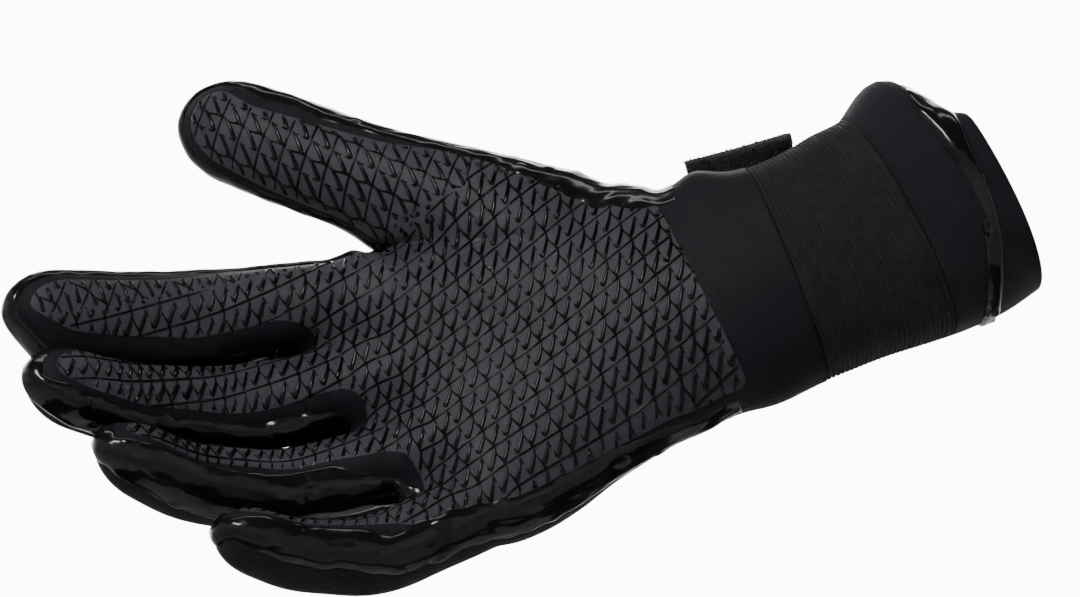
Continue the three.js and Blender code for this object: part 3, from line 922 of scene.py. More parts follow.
def panelPiece(name, way, finish, node):
    planes = [((panel["end"] - panel["gap"] / 2, 0, 0), (1, 0, 0))]
    planes.append(((0, way * panel["gap"] / 2, 0), (0, -way, 0)))
    sheet = cutSheet(flat, name, planes)
    points = coordinates(sheet)
    setAttribute(sheet, "flatPlace", points)
    if way < 0:
        setAttribute(sheet, "printInset", printInset(points))
    lift = ripples(points, panel["rippleSize"], 3 + way) * panel["ripple"]
    lift *= smoothstep(np.abs(points[:, 1]), 3, 9)
    setPoints(sheet, posed(points + normalsOf(sheet) * lift[:, None]))
    mesh = walled(sheet, name, hand["wall"])
    facesOut(mesh)
    return finished(mesh, name, finish, [node])


palmPiece = panelPiece("palmPanel", -1, palmCoatFinish, "palm_panel")
backPiece = panelPiece("backPanel", 1, blackJersey, "back_panel")
print("panels", len(palmPiece.data.polygons), len(backPiece.data.polygons))

# Raised grip print: zigzags between long lines, laid on the palm
gripPrint = {
    "repeat": 8.9,
    "rowStep": 6.5,
    "rowShift": 1.0,
    "height": 0.36,
    "sunk": 0.25,
    "weight": 1.85,  # of all strokes
    "longest": 7.0,  # edge of a stroke, more than that bridges a gap
    "turn": 23.0,  # of the rows on the hand, from the wrist's direction
    "thumbTurn": 55.0,
    "bend": 0.33,  # the rows turn towards the fingers' direction
    "bendFrom": 80.0,
    "bendOver": 40.0,
    "columns": 42,
    "rows": 58,
    "middle": (-95.0, 5.0),
}
# Strokes of one repeat: along the row, across it, half width
gripStrokes = [
    [(u, 0, 0.19) for u in (-0.04, 1.8, 3.6, 5.4, 7.2, 8.94)],
    [
        (-5.3, -5.45, 0.28), (-4.9, -5.3, 0.36), (-3.6, -4.3, 0.35), (-2.2, -3.15, 0.31),
        (-1.0, -1.95, 0.25), (-0.1, -0.75, 0.2), (0, 0, 0.15),
    ],
    [
        (-1.0, -6.5, 0.16), (-0.6, -5.4, 0.32), (0.8, -4.3, 0.35), (2.2, -3.1, 0.31),
        (3.4, -1.9, 0.25), (4.3, -0.8, 0.16),
    ],
    [(-0.75, -1.7, 0.2), (-0.75, -3.4, 0.16), (-0.6, -5.1, 0.24)],
    [(4.1, -1.1, 0.2), (4.0, -2.7, 0.07)],
    [(3.75, -3.8, 0.07), (3.75, -5.3, 0.3)],
]
# Across the bead and up, in shares of half width and height
beadSection = [(-1.0, -1.0), (-0.75, 0.6), (0.0, 1.0), (0.75, 0.6), (1.0, -1.0)]


def gripCell():
    points, faces, strokes = [], [], []
    for number, stroke in enumerate(gripStrokes):
        path = np.array(stroke)
        along = np.gradient(path[:, :2], axis=0)
        along /= np.linalg.norm(along, axis=1)[:, None]
        start = len(points)
        for (u, v, half), (du, dv) in zip(path, along):
            half *= gripPrint["weight"]
            for across, up in beadSection:
                raised = gripPrint["height"] * (0.55 + half * 1.3)
                height = up * (raised if up > 0 else gripPrint["sunk"])
                points.append((u - dv * half * across, v + du * half * across, height))
                strokes.append(number)
        faces += tubeFaces(len(path), len(beadSection), start)
    return meshFrom("gripCell", points, faces), np.array(strokes)


# A node tree with named inputs; each row is name, socket kind and value
def newTree(name, inputs):
    tree = bpy.data.node_groups.new(name, "GeometryNodeTree")
    tree.interface.new_socket("Geometry", in_out="INPUT", socket_type="NodeSocketGeometry")
    for label, kind, value in inputs:
        socket = tree.interface.new_socket(label, in_out="INPUT", socket_type=kind)
        if value is not None:
            socket.default_value = value
    tree.interface.new_socket("Geometry", in_out="OUTPUT", socket_type="NodeSocketGeometry")
    given = tree.nodes.new("NodeGroupInput")
    result = tree.nodes.new("NodeGroupOutput")
    return tree, tree.nodes, tree.links, given, result


def wire(links, source, output, target, socket):
    links.new(source.outputs[output], target.inputs[socket])


# Every tree ends the same way: instances made real, then the material
def endTree(nodes, links, given, result, source, output):
    real = nodes.new("GeometryNodeRealizeInstances")
    wire(links, source, output, real, "Geometry")
    paint = nodes.new("GeometryNodeSetMaterial")
    wire(links, real, "Geometry", paint, "Geometry")
    wire(links, given, "Material", paint, "Material")
    wire(links, paint, "Geometry", result, "Geometry")


def treeResult(tree, base, values, name):
    item = objectFrom(name, base)
    modifier = item.modifiers.new(tree.name, "NODES")
    modifier.node_group = tree
    for socket in tree.interface.items_tree:
        if socket.in_out == "INPUT" and socket.name in values:
            modifier[socket.identifier] = values[socket.name]
    return baked(item, name)


def gripTree():
    tree, nodes, links, given, result = newTree("gripRows", [
        ("Cell", "NodeSocketObject", None),
        ("Columns", "NodeSocketInt", 10),
        ("Rows", "NodeSocketInt", 10),
        ("Repeat", "NodeSocketFloat", 8.9),
        ("Row Step", "NodeSocketFloat", 6.5),
        ("Row Shift", "NodeSocketFloat", 1.0),
        ("Turn", "NodeSocketVector", (0, 0, 0)),
        ("Middle", "NodeSocketVector", (0, 0, 0)),
        ("Material", "NodeSocketMaterial", None),
    ])
    grid = nodes.new("GeometryNodeMeshGrid")
    wire(links, given, "Columns", grid, "Vertices X")
    wire(links, given, "Rows", grid, "Vertices Y")
    for count, step, size in (("Columns", "Repeat", "Size X"), ("Rows", "Row Step", "Size Y")):
        less = addNode(nodes, "ShaderNodeMath", operation="SUBTRACT")
        less.inputs[1].default_value = 1.0
        wire(links, given, count, less, 0)
        span = addNode(nodes, "ShaderNodeMath", operation="MULTIPLY")
        links.new(less.outputs[0], span.inputs[0])
        wire(links, given, step, span, 1)
        wire(links, span, 0, grid, size)
    place = nodes.new("GeometryNodeInputPosition")
    apart = nodes.new("ShaderNodeSeparateXYZ")
    links.new(place.outputs[0], apart.inputs[0])
    row = addNode(nodes, "ShaderNodeMath", operation="DIVIDE")
    links.new(apart.outputs[1], row.inputs[0])
    wire(links, given, "Row Step", row, 1)
    shift = addNode(nodes, "ShaderNodeMath", operation="MULTIPLY")
    links.new(row.outputs[0], shift.inputs[0])
    wire(links, given, "Row Shift", shift, 1)
    offset = nodes.new("ShaderNodeCombineXYZ")
    links.new(shift.outputs[0], offset.inputs[0])
    skew = nodes.new("GeometryNodeSetPosition")
    wire(links, grid, "Mesh", skew, "Geometry")
    links.new(offset.outputs[0], skew.inputs["Offset"])
    cell = nodes.new("GeometryNodeObjectInfo")
    wire(links, given, "Cell", cell, "Object")
    each = nodes.new("GeometryNodeInstanceOnPoints")
    wire(links, skew, "Geometry", each, "Points")
    wire(links, cell, "Geometry", each, "Instance")
    turn = nodes.new("GeometryNodeTransform")
    wire(links, each, "Instances", turn, "Geometry")
    wire(links, given, "Middle", turn, "Translation")
    wire(links, given, "Turn", turn, "Rotation")
    endTree(nodes, links, given, result, turn, "Geometry")
    return tree


# Where the thumb's print meets the hand's, along the fold of the web, flat
foldLine = [(-74.0, 52.0), (-62.0, 50.5), (-50.0, 54.5), (-47.0, 62.0), (-44.0, 80.0)]


def onThumb(points):
    line = np.array(foldLine)
    z = points[:, 1]
    order = np.argsort(line[:, 1])
    edge = np.interp(z, line[order, 1], line[order, 0])
    side = np.interp(points[:, 0], line[:, 0], line[:, 1])
    ahead = points[:, 0] < edge
    return ahead & (z > np.where(points[:, 0] < line[0, 0], line[0, 1] - 6, side - 2))


# The flat form's surface under each place, seen from the palm side
def underPalm(places):
    spots, normals = np.zeros((len(places), 3)), np.zeros((len(places), 3))
    hit = np.zeros(len(places), bool)
    for i, (x, z) in enumerate(places):
        spot, normal, _, _ = flatTree.ray_cast((x, -80, z), (0, 1, 0))
        if spot is not None:
            spots[i], normals[i], hit[i] = spot, normal, True
    return spots, normals, hit


def gripField(turn, thumb, tree, cellObject, strokes):
    base = bpy.data.meshes.new("gripBase")
    x, z = gripPrint["middle"]
    mesh = treeResult(tree, base, {
        "Cell": cellObject, "Columns": gripPrint["columns"], "Rows": gripPrint["rows"],
        "Repeat": gripPrint["repeat"], "Row Step": gripPrint["rowStep"],
        "Row Shift": gripPrint["rowShift"], "Turn": (0, 0, math.radians(turn)),
        "Middle": (x, z, 0), "Material": gripFinishItem,
    }, "gripRows")
    rows = coordinates(mesh)
    if not thumb:
        past = np.maximum(0, -rows[:, 0] - gripPrint["bendFrom"])
        ease = gripPrint["bendOver"]
        eased = np.where(past < ease, past**2 / (2 * ease), past - ease / 2)
        rows[:, 1] += gripPrint["bend"] * eased
    polygons = [list(p.vertices) for p in mesh.polygons]
    bpy.data.meshes.remove(mesh)
    cells = len(rows) // len(strokes)
    count = int(strokes.max()) + 1
    stroke = np.tile(strokes, cells) + np.repeat(np.arange(cells) * count, len(strokes))
    middles = rows.reshape(cells, -1, 3).mean(axis=1)[:, :2]
    onHand = underPalm(middles)[2]
    for i in np.nonzero(~onHand)[0]:
        onHand[i] = rimTree.find((middles[i, 0], 0, middles[i, 1]))[2] < gripPrint["repeat"]
    asked = np.nonzero(np.repeat(onHand, len(strokes)))[0]
    spots, normals = np.zeros((len(rows), 3)), np.zeros((len(rows), 3))
    hit = np.zeros(len(rows), bool)
    spots[asked], normals[asked], hit[asked] = underPalm(rows[asked, :2])
    inset = np.full(len(rows), -9.0)
    inset[hit] = printInset(spots[hit])
    mine = onThumb(rows[:, :2]) == thumb
    inside = (inset > 0) & mine
    kept = np.zeros(cells * count, bool)
    np.logical_or.at(kept, stroke, inside)
    used = kept[stroke]
    for i in np.nonzero(used & ~hit)[0]:
        spot, normal, _, _ = flatTree.find_nearest((rows[i, 0], -4, rows[i, 1]))
        spots[i], normals[i] = spot, normal
    height = np.where(inside, rows[:, 2], -0.6 + 0.2 * rows[:, 2])
    points = spots + normals * height[:, None]
    shown = np.zeros_like(points)
    shown[used] = posed(points[used])
    ends = np.array([(f[0], f[2]) for f in polygons if used[f[0]]])
    far = np.linalg.norm(shown[ends[:, 0]] - shown[ends[:, 1]], axis=1) > gripPrint["longest"] * mm
    kept[stroke[ends[far, 0]]] = False
    used = kept[stroke]
    index = np.cumsum(used) - 1
    faces = [[index[v] for v in face] for face in polygons if used[face[0]]]
    return points[used], faces


gripRubber = {
    "colour": (0.0015, 0.0015, 0.002, 1),
    "light": (0.003, 0.003, 0.0037, 1),
    "roughness": (0.08, 0.25),
    "specular": 0.14,
    "perMm": 0.8,
    "detail": 3.0,
    "cloudFrom": (0.0, 1.0),
}


def gripPiece():
    cellMesh, strokes = gripCell()
    cellObject = objectFrom("gripCell", cellMesh)
    tree = gripTree()
    points, faces, start = [], [], 0
    for turn, thumb in ((gripPrint["turn"], False), (gripPrint["thumbTurn"], True)):
        spots, polygons = gripField(turn, thumb, tree, cellObject, strokes)
        points.append(spots)
        faces += [[v + start for v in face] for face in polygons]
        start += len(spots)
    bpy.data.objects.remove(cellObject)
    points = np.concatenate(points)
    mesh = meshFrom("gripPrint", points, faces)
    intoPose(mesh, points)
    return finished(mesh, "gripPrint", gripFinishItem, None)


gripFinishItem = rubberFinish("gripRubber", gripRubber)
gripItem = gripPiece()
print("grip print", len(gripItem.data.polygons))

# The band of liquid rubber over the outline seam
seal = {
    "width": 8.5,
    "thickness": 1.15,
    "sunk": 0.7,  # its rims lie this far under the neoprene
    "end": 1.5,  # flat x, just behind the wrist crease
    "taper": 10.0,  # it thins out over this length
    "wavy": 0.9,
    "wrinkle": 0.24,
    "blob": 0.5,
    "blobSpacing": 11.0,
    "crotch": 1.4,
    "crotchPlace": (15.0, -20.0),  # how far it reaches, how far up the fingers it lies
    "wall": 0.8,
    "triangles": 185000,
    "thumbMoved": (2.6, 2.4, 2.6),  # on the thumb's upper side: all along, base, heel
    "thumbHalf": (5.6, 1.4, 0.6),
    "edgeMoved": 2.2,  # along the hand's edge behind the little finger
    "edgeHalf": 5.6,
    "webNarrowed": 0.45,
}


# Where the seal lies beyond the outline seam: moved to the palm, and half as wide
sealMoved = {
    "index": (-0.4, 4.3),
    "middle": (-2.0, 5.2),
    "ring": (-3.8, 6.8),
    "little": (-6.2, 6.4),
}


def sealPlace(points):
    past, across, nearest = onFingers(points)
    low = past * smoothstep(-across, 1.0, 6.0)
    # the little finger's side goes on along the edge of the hand
    edge = smoothstep(-points[:, 2], 22.0, 30.0) * smoothstep(-points[:, 0], 8.0, 40.0)
    table = np.array([sealMoved[name] for name in fingerNames])
    moved = table[nearest, 0] * low
    half = seal["width"] / 2 + (table[nearest, 1] - seal["width"] / 2) * low
    x, z = webMargin["place"]
    web = 1 - smoothstep(np.hypot(points[:, 0] - x, points[:, 2] - z), 14.0, 60.0)
    half = half * (1 - seal["webNarrowed"] * web)
    moved = moved + 0.2 * web
    top = onThumbTop(points)
    base = smoothstep(points[:, 0], -55.0, -30.0)
    shares = np.stack([np.ones(len(points)), base, heelShare(points)])
    moved = moved * (1 - top) - (np.array(seal["thumbMoved"]) @ shares) * top
    half = half * (1 - top) + (np.array(seal["thumbHalf"]) @ shares) * top
    onEdge = edge * (1 - past)
    moved = moved * (1 - onEdge) - seal["edgeMoved"] * onEdge
    return moved, half + (seal["edgeHalf"] - half) * onEdge


def sealProfile(points):
    moved, half = sealPlace(points)
    wide = half * (
        1 + 0.16 * ripples(points, 14.0, 21) * seal["wavy"] + 0.1 * ripples(points, 4.0, 22)
    )
    u = np.abs(points[:, 1] - moved) / wide
    ending = smoothstep(seal["end"] - points[:, 0], 0.0, seal["taper"])
    thick = seal["thickness"] * (1 + 0.2 * ripples(points, 9.0, 23))
    body = (0.25 + 0.75 * ending) * thick * (1 - np.minimum(u, 1.6) ** 4)
    across = points * np.array([0.28, 1.0, 0.28])
    wrinkles = seal["wrinkle"] * ripples(across, 1.6, 24) * (u < 1.2)
    near = np.array([noise.voronoi(Vector(p) / seal["blobSpacing"])[0][0] for p in points])
    blobs = seal["blob"] * np.maximum(0, 1 - (near / 0.24) ** 2) * (u < 1)
    filled = seal["crotch"] * nearCrotch(points, *seal["crotchPlace"])
    filled = filled * smoothstep(-points[:, 2], -12.0, 0.0)
    blobs = blobs + filled * (1 - np.minimum(u, 1) ** 2)
    return np.maximum(body + wrinkles + blobs, -seal["sunk"])


def sealPiece():
    sheet = cutSheet(flat, "seamSeal", [((seal["end"], 0, 0), (1, 0, 0))])
    points = coordinates(sheet)
    moved, half = sealPlace(points)
    far = np.abs(points[:, 1] - moved) > half * 1.08 + 1.0
    work = bmesh.new()
    work.from_mesh(sheet)
    work.verts.ensure_lookup_table()
    gone = [work.verts[i] for i in np.nonzero(far)[0]]
    bmesh.ops.delete(work, geom=gone, context="VERTS")
    bmesh.ops.subdivide_edges(work, edges=work.edges, cuts=1, use_grid_fill=True)
    work.to_mesh(sheet)
    work.free()
    points = coordinates(sheet)
    setAttribute(sheet, "flatPlace", points)
    setPoints(sheet, posed(points + normalsOf(sheet) * sealProfile(points)[:, None]))
    # the underside needs no fine faces of its own, so the sheet gets a thin wall
    mesh = walled(sheet, "seamSeal", seal["wall"])
    triangles = sum(len(p.vertices) - 2 for p in mesh.polygons)
    item = objectFrom("seamSeal", mesh)
    fewer = item.modifiers.new("fewer", "DECIMATE")
    fewer.ratio = min(1.0, seal["triangles"] / triangles)
    mesh = baked(item, "seamSeal")
    facesOut(mesh)
    return finished(mesh, "seamSeal", sealRubber, ["seam_seal"])


sealItem = sealPiece()
print("seal", len(sealItem.data.polygons))

# Wrist: elastic band, cuff, sealed seam and hem, all rings on the wrist's own sections
cuffSizes = {
    "bandStart": 24.0,
    "bandWidth": 30.0,
    "bandRecess": 0.6,
    "bandMore": 3.5,  # the band's far edge lies this much nearer to the mouth
    "hemWidth": 10.0,
    "hemSlant": 14.0,
    "seamBow": 4.5,  # the slanted seam bows towards the mouth
    "bowPlace": -18.0,
    "bowReach": 22.0,
    "rimCut": 1.0,
    "seamWidth": 5.5,
    "seamThickness": 1.2,
    "sides": 220,
}


# Where the slanted line, set off by some millimetres, crosses the wrist
def slantedX(z, offset):
    slant = math.radians(cuffSizes["hemSlant"])
    start = hand["wristLength"] - cuffSizes["hemWidth"]
    across = z - wristLean
    away = (across - cuffSizes["bowPlace"]) / cuffSizes["bowReach"]
    bowed = cuffSizes["seamBow"] * np.exp(-(away**2))
    return start + bowed + (offset + across * math.sin(slant)) / math.cos(slant)


# The mouth's rim is shorter on the thumb side
def rimX(z):
    side = (z - wristLean) / (hand["wristWidth"] / 2)
    return hand["wristLength"] - cuffSizes["rimCut"] * smoothstep(side, 0.1, 1.0)


def ringRows(startX, endX, rows, grow):
    sides = cuffSizes["sides"]
    turn = around(sides)
    share = np.linspace(0, 1, rows)[:, None]
    x = np.full((rows, sides), 70.0)
    for _ in range(3):
        points = trunkPoint(-x, turn, 0.0)
        z = points[..., 2]
        low = startX(z) if callable(startX) else startX
        high = endX(z) if callable(endX) else endX
        x = low + (high - low) * share
    return trunkPoint(-x, turn, grow)


# A closed ring: outer rows, then inner rows back again
def closedRing(name, outer, inner):
    rows = np.concatenate([outer, inner[::-1]])
    count, sides = rows.shape[:2]
    mesh = meshFrom(name, rows.reshape(-1, 3), gridFaces(count, sides, 0, True).tolist())
    facesOut(mesh)
    return mesh


def outwardOf(points):
    outward = points - np.array([0, 0, wristLean])
    outward[:, 0] = 0
    return outward / np.linalg.norm(outward, axis=1)[:, None]


# How far the cuff stands off its plain shape on the thumb side: flat x, millimetres
cuffTop = [
    (54.0, -1.2), (57.5, -1.2), (60.5, 0.2), (64.0, 2.0), (67.0, 3.0),
    (70.0, 3.1), (73.0, 1.8), (76.0, -1.4), (79.0, -5.6), (84.0, -14.0),
]


def topLift(points):
    table = np.array(cuffTop)
    lift = np.interp(points[:, 0], table[:, 0], table[:, 1])
    side = (points[:, 2] - wristLean) / (hand["wristWidth"] / 2)
    return lift * smoothstep(side, 0.3, 1.0) * smoothstep(points[:, 0], 44, 57)


def ringPiece(name, startX, endX, rows, grow, finish, node, shape, inner=None):
    outer = ringRows(startX, endX, rows, grow)
    inside = ringRows(startX, endX, max(rows // 4, 3), -hand["wall"] if inner is None else inner)
    mesh = closedRing(name, outer, inside)
    points = coordinates(mesh)
    outer = rows * cuffSizes["sides"]
    lift = np.concatenate([shape(points[:outer]), topLift(points[outer:])])
    intoPose(mesh, points, points + outwardOf(points) * lift[:, None])
    return finished(mesh, name, finish, [node])


bandEnd = cuffSizes["bandStart"] + cuffSizes["bandWidth"] + cuffSizes["bandMore"]
halfGap = panel["gap"] / 2


def cuffShape(points):
    return 0.5 * ripples(points, 18.0, 31) + topLift(points)


def bandShape(points):
    return 0.3 * ripples(points, 16.0, 30) + topLift(points)


ribs = {
    "spacing": 1.25,
    "size": 0.42,
    "raised": 0.1,
    "sides": 160,
    "section": 6,
}


# Ribs round the band: one ring of points per rib becomes a curve, then a round bead
def ribTree():
    tree, nodes, links, given, result = newTree("elasticRibs", [
        ("Radius", "NodeSocketFloat", 0.4),
        ("Sides", "NodeSocketInt", 6),
        ("Material", "NodeSocketMaterial", None),
    ])
    curve = nodes.new("GeometryNodeMeshToCurve")
    wire(links, given, "Geometry", curve, "Mesh")
    bead = nodes.new("GeometryNodeCurvePrimitiveCircle")
    wire(links, given, "Sides", bead, "Resolution")
    wire(links, given, "Radius", bead, "Radius")
    sweep = nodes.new("GeometryNodeCurveToMesh")
    wire(links, curve, "Curve", sweep, "Curve")
    wire(links, bead, "Curve", sweep, "Profile Curve")
    endTree(nodes, links, given, result, sweep, "Mesh")
    return tree


def ribPiece():
    first, last = cuffSizes["bandStart"] + 0.8, bandEnd - 0.8
    count = int(round((last - first) / ribs["spacing"])) + 1
    x = np.linspace(first, last, count)[:, None]
    rings = trunkPoint(-x, around(ribs["sides"]), ribs["raised"] - cuffSizes["bandRecess"])
    points = rings.reshape(-1, 3)
    points = points + outwardOf(points) * bandShape(points)[:, None]
    base = bpy.data.meshes.new("ribRings")
    sides = ribs["sides"]
    edges = [
        (r * sides + i, r * sides + (i + 1) % sides) for r in range(count) for i in range(sides)
    ]
    base.from_pydata(points.tolist(), edges, [])
    mesh = treeResult(ribTree(), base, {
        "Radius": ribs["size"], "Sides": ribs["section"], "Material": elasticFinishItem,
    }, "bandRibs")
    points = coordinates(mesh)
    intoPose(mesh, points)
    return finished(mesh, "bandRibs", elasticFinishItem, None)


elasticKnit = {
    "colour": (0.0035, 0.0035, 0.0038, 1),
    "light": (0.014, 0.0132, 0.013, 1),
    "knitPerMm": 2.2,
    "depth": 0.0003,
    "spread": 0.3,
    "roughness": 0.75,
    "specular": 0.2,
}
elasticFinishItem = clothFinish("elasticKnit", elasticKnit)
ringPiece(
    "wristBand", cuffSizes["bandStart"] + halfGap, bandEnd - halfGap, 40,
    -cuffSizes["bandRecess"], elasticFinishItem, "wrist_band", bandShape,
)
ribPiece()
ringPiece(
    "cuffBody", bandEnd + halfGap, lambda z: slantedX(z, -halfGap), 60, 0.0, blackJersey, "cuff",
    cuffShape,
)
ringPiece(
    "cuffHem", lambda z: slantedX(z, halfGap), rimX, 24, 0.0, blackJersey,
    "cuff_hem", cuffShape,
)


# The sealed seam's lumps and drops, millimetres
seamWet = {
    "lumps": (0.45, 0.6),  # small and large
    "drop": 1.1,
    "dropSpacing": 6.0,
    "rim": 1.15,  # how much lower its two rims are
}
seamHalf = cuffSizes["seamWidth"] / 2


# The seam is wider on the thumb side, most of all towards the hand
def seamStart(z):
    return 1 + 1.5 * smoothstep(z, 4, 28)


def seamEnd(z):
    wide = seamHalf * (1 + 0.25 * smoothstep(z, 5, 30))
    return np.minimum(slantedX(z, wide), rimX(z) + 0.2)


def seamShape(points):
    small, large = seamWet["lumps"]
    lumps = small * ripples(points * np.array([1.0, 0.5, 0.5]), 2.8, 33)
    lumps += large * ripples(points, 7.0, 34)
    spacing = seamWet["dropSpacing"]
    near = np.array([noise.voronoi(Vector(p) / spacing)[0][0] for p in points])
    low = smoothstep(-points[:, 2], -14.0, 6.0)
    drops = seamWet["drop"] * np.maximum(0, 1 - (near / 0.3) ** 2) * low
    middle = slantedX(points[:, 2], 0.0)
    across = (points[:, 0] - middle) / seamHalf
    across = np.where(across < 0, -across / seamStart(points[:, 2]), across)
    rim = -seamWet["rim"] * np.clip(across, 0, 1.2) ** 4
    return lumps * (1 - 0.5 * low) + drops + rim + cuffShape(points) - 0.35 * low


ringPiece(
    "cuffSeam", lambda z: slantedX(z, -seamHalf * seamStart(z)), seamEnd, 34,
    cuffSizes["seamThickness"], sealRubber, "cuff_seam", seamShape, -0.6,
)
print("wrist rings")

# Closing strap across the back of the wrist, with its free tab
strap = {
    "start": 5.0,  # wrist crease to the strap
    "width": 30.0,
    "thickness": 2.6,
    "turns": (232.0, 296.0),  # round the back of the wrist
    "root": (19.3, 21.8),  # behind the middle, up from the wrist's middle line
    "length": 25.0,
    "angle": 40.0,
    "lift": 0.4,
    "steps": (30, 22),  # lying part, tab
    "smoothing": 6,
    "sides": 72,
    "square": (10.0, 4.0),
    "skew": ((2.6, 7.0), (1.0, -6.0)),  # of the tab's end, in x and z: near corner, more
    "bristles": 2600,
    "bristleLength": 0.9,
    "bristleEnds": (0.00018, 0.00005),
    "bristleLean": 0.7,
    "seed": 4,
}


def strapPath():
    count, tabCount = strap["steps"]
    turns = np.radians(np.linspace(*strap["turns"], count))
    x = strap["start"] + strap["width"] / 2
    off = strap["lift"] + strap["thickness"] / 2
    lying = trunkPoint(np.full(count, -x), turns, off)[:, 1:]
    angle = math.radians(strap["angle"])
    rootY = strap["root"][0] + strap["thickness"] / 2 * math.cos(angle)
    rootZ = strap["root"][1] + wristLean + strap["thickness"] / 2 * math.sin(angle)
    steps = np.linspace(1.5, strap["length"], tabCount)[:, None]
    tab = np.array([[rootY, rootZ]]) + steps * np.array([[-math.sin(angle), math.cos(angle)]])
    path = np.concatenate([lying, tab])
    for _ in range(strap["smoothing"]):
        path[1:-1] = 0.25 * path[:-2] + 0.5 * path[1:-1] + 0.25 * path[2:]
    return path, len(lying)


# The tab's free end is skewed and a little longer than wide at its far corner
def tabSkewed(points, share, at):
    end = smoothstep(share, 0.0, 1.0)
    for axis, (near, more) in zip((0, 2), strap["skew"]):
        points[:, axis] += end * (near + more * at)
    return points


def strapPiece():
    path, lying = strapPath()
    heading = np.gradient(path, axis=0)
    heading /= np.linalg.norm(heading, axis=1)[:, None]
    outward = np.stack([heading[:, 1], -heading[:, 0]], axis=1)
    ring = around(strap["sides"])[0]
    c, t = np.cos(ring), np.sin(ring)
    acrossSquare, upSquare = strap["square"]
    wide = np.sign(c) * np.abs(c) ** (2 / acrossSquare) * strap["width"] / 2
    high = np.sign(t) * np.abs(t) ** (2 / upSquare) * strap["thickness"] / 2
    points, stations = [], []
    final = len(path) - 1
    order = [(0, 0.55), (0, 0.85)] + [(i, 1.0) for i in range(len(path))]
    order += [(final, 0.85), (final, 0.55)]
    for i, full in order:
        x = strap["start"] + strap["width"] / 2 + wide * (1 - (1 - full) * 0.03)
        y = path[i, 0] + outward[i, 0] * high * full
        z = path[i, 1] + outward[i, 1] * high * full
        points.append(np.stack([x, y, z], axis=1))
        stations += [max(0.0, (i - lying) / (len(path) - 1 - lying))] * len(ring)
    count, sides = len(points), len(ring)
    points = np.concatenate(points)
    at = (points[:, 0] - strap["start"]) / strap["width"]
    points = tabSkewed(points, np.array(stations), at)
    mesh = meshFrom("closingStrap", points, tubeFaces(count, sides))
    intoPose(mesh, points)
    return finished(mesh, "closingStrap", pileFinishItem, ["closing_strap"])


strapPile = {
    "colour": (0.004, 0.004, 0.004, 1),
    "light": (0.02, 0.019, 0.018, 1),
    "knitPerMm": 1.1,
    "depth": 0.0008,
    "spread": 0.7,
    "roughness": 0.9,
    "specular": 0.5,
}


# Short bristles all over the strap
def bristleTree():
    tree, nodes, links, given, result = newTree("pileBristles", [
        ("Per Area", "NodeSocketFloat", 1.0),
        ("Length", "NodeSocketFloat", 0.001),
        ("Seed", "NodeSocketInt", 0),
        ("Material", "NodeSocketMaterial", None),
    ])
    spread = nodes.new("GeometryNodeDistributePointsOnFaces")
    wire(links, given, "Geometry", spread, "Mesh")
    wire(links, given, "Per Area", spread, "Density")
    wire(links, given, "Seed", spread, "Seed")
    hair = nodes.new("GeometryNodeMeshCone")
    hair.inputs["Vertices"].default_value = 3
    for end, radius in zip(("Bottom", "Top"), strap["bristleEnds"]):
        hair.inputs[f"Radius {end}"].default_value = radius
    wire(links, given, "Length", hair, "Depth")
    lean = nodes.new("FunctionNodeRandomValue")
    lean.data_type = "FLOAT_VECTOR"
    most = strap["bristleLean"]
    lean.inputs[0].default_value = (-most, -most, 0.0)
    lean.inputs[1].default_value = (most, most, 6.28)
    wire(links, given, "Seed", lean, "Seed")
    turn = nodes.new("FunctionNodeRotateRotation")
    turn.rotation_space = "LOCAL"
    links.new(spread.outputs["Rotation"], turn.inputs[0])
    links.new(lean.outputs[0], turn.inputs[1])
    each = nodes.new("GeometryNodeInstanceOnPoints")
    wire(links, spread, "Points", each, "Points")
    wire(links, hair, "Mesh", each, "Instance")
    links.new(turn.outputs[0], each.inputs["Rotation"])
    endTree(nodes, links, given, result, each, "Instances")
    return tree


def bristlePiece():
    area = sum(p.area for p in strapItem.data.polygons)
    mesh = treeResult(bristleTree(), strapItem.data.copy(), {
        "Per Area": strap["bristles"] / area, "Length": strap["bristleLength"] * mm,
        "Seed": strap["seed"], "Material": pileFinishItem,
    }, "strapBristles")
    facesOut(mesh)
    return finished(mesh, "strapBristles", pileFinishItem, None)


pileFinishItem = clothFinish("strapPile", strapPile)
strapItem = strapPiece()
bristleItem = bristlePiece()
print("strap", len(bristleItem.data.polygons))

# Red stripe along the back of the thumb
stripe = {
    "width": 4.2,
    "thickness": 0.6,
    "route": [(0.93, -0.02), (0.78, -0.12), (0.6, -0.1), (0.44, 0.02), (0.3, 0.12), (0.17, 0.1)],
    "steps": 150,
    "across": 9,
    "sunk": 0.25,
}


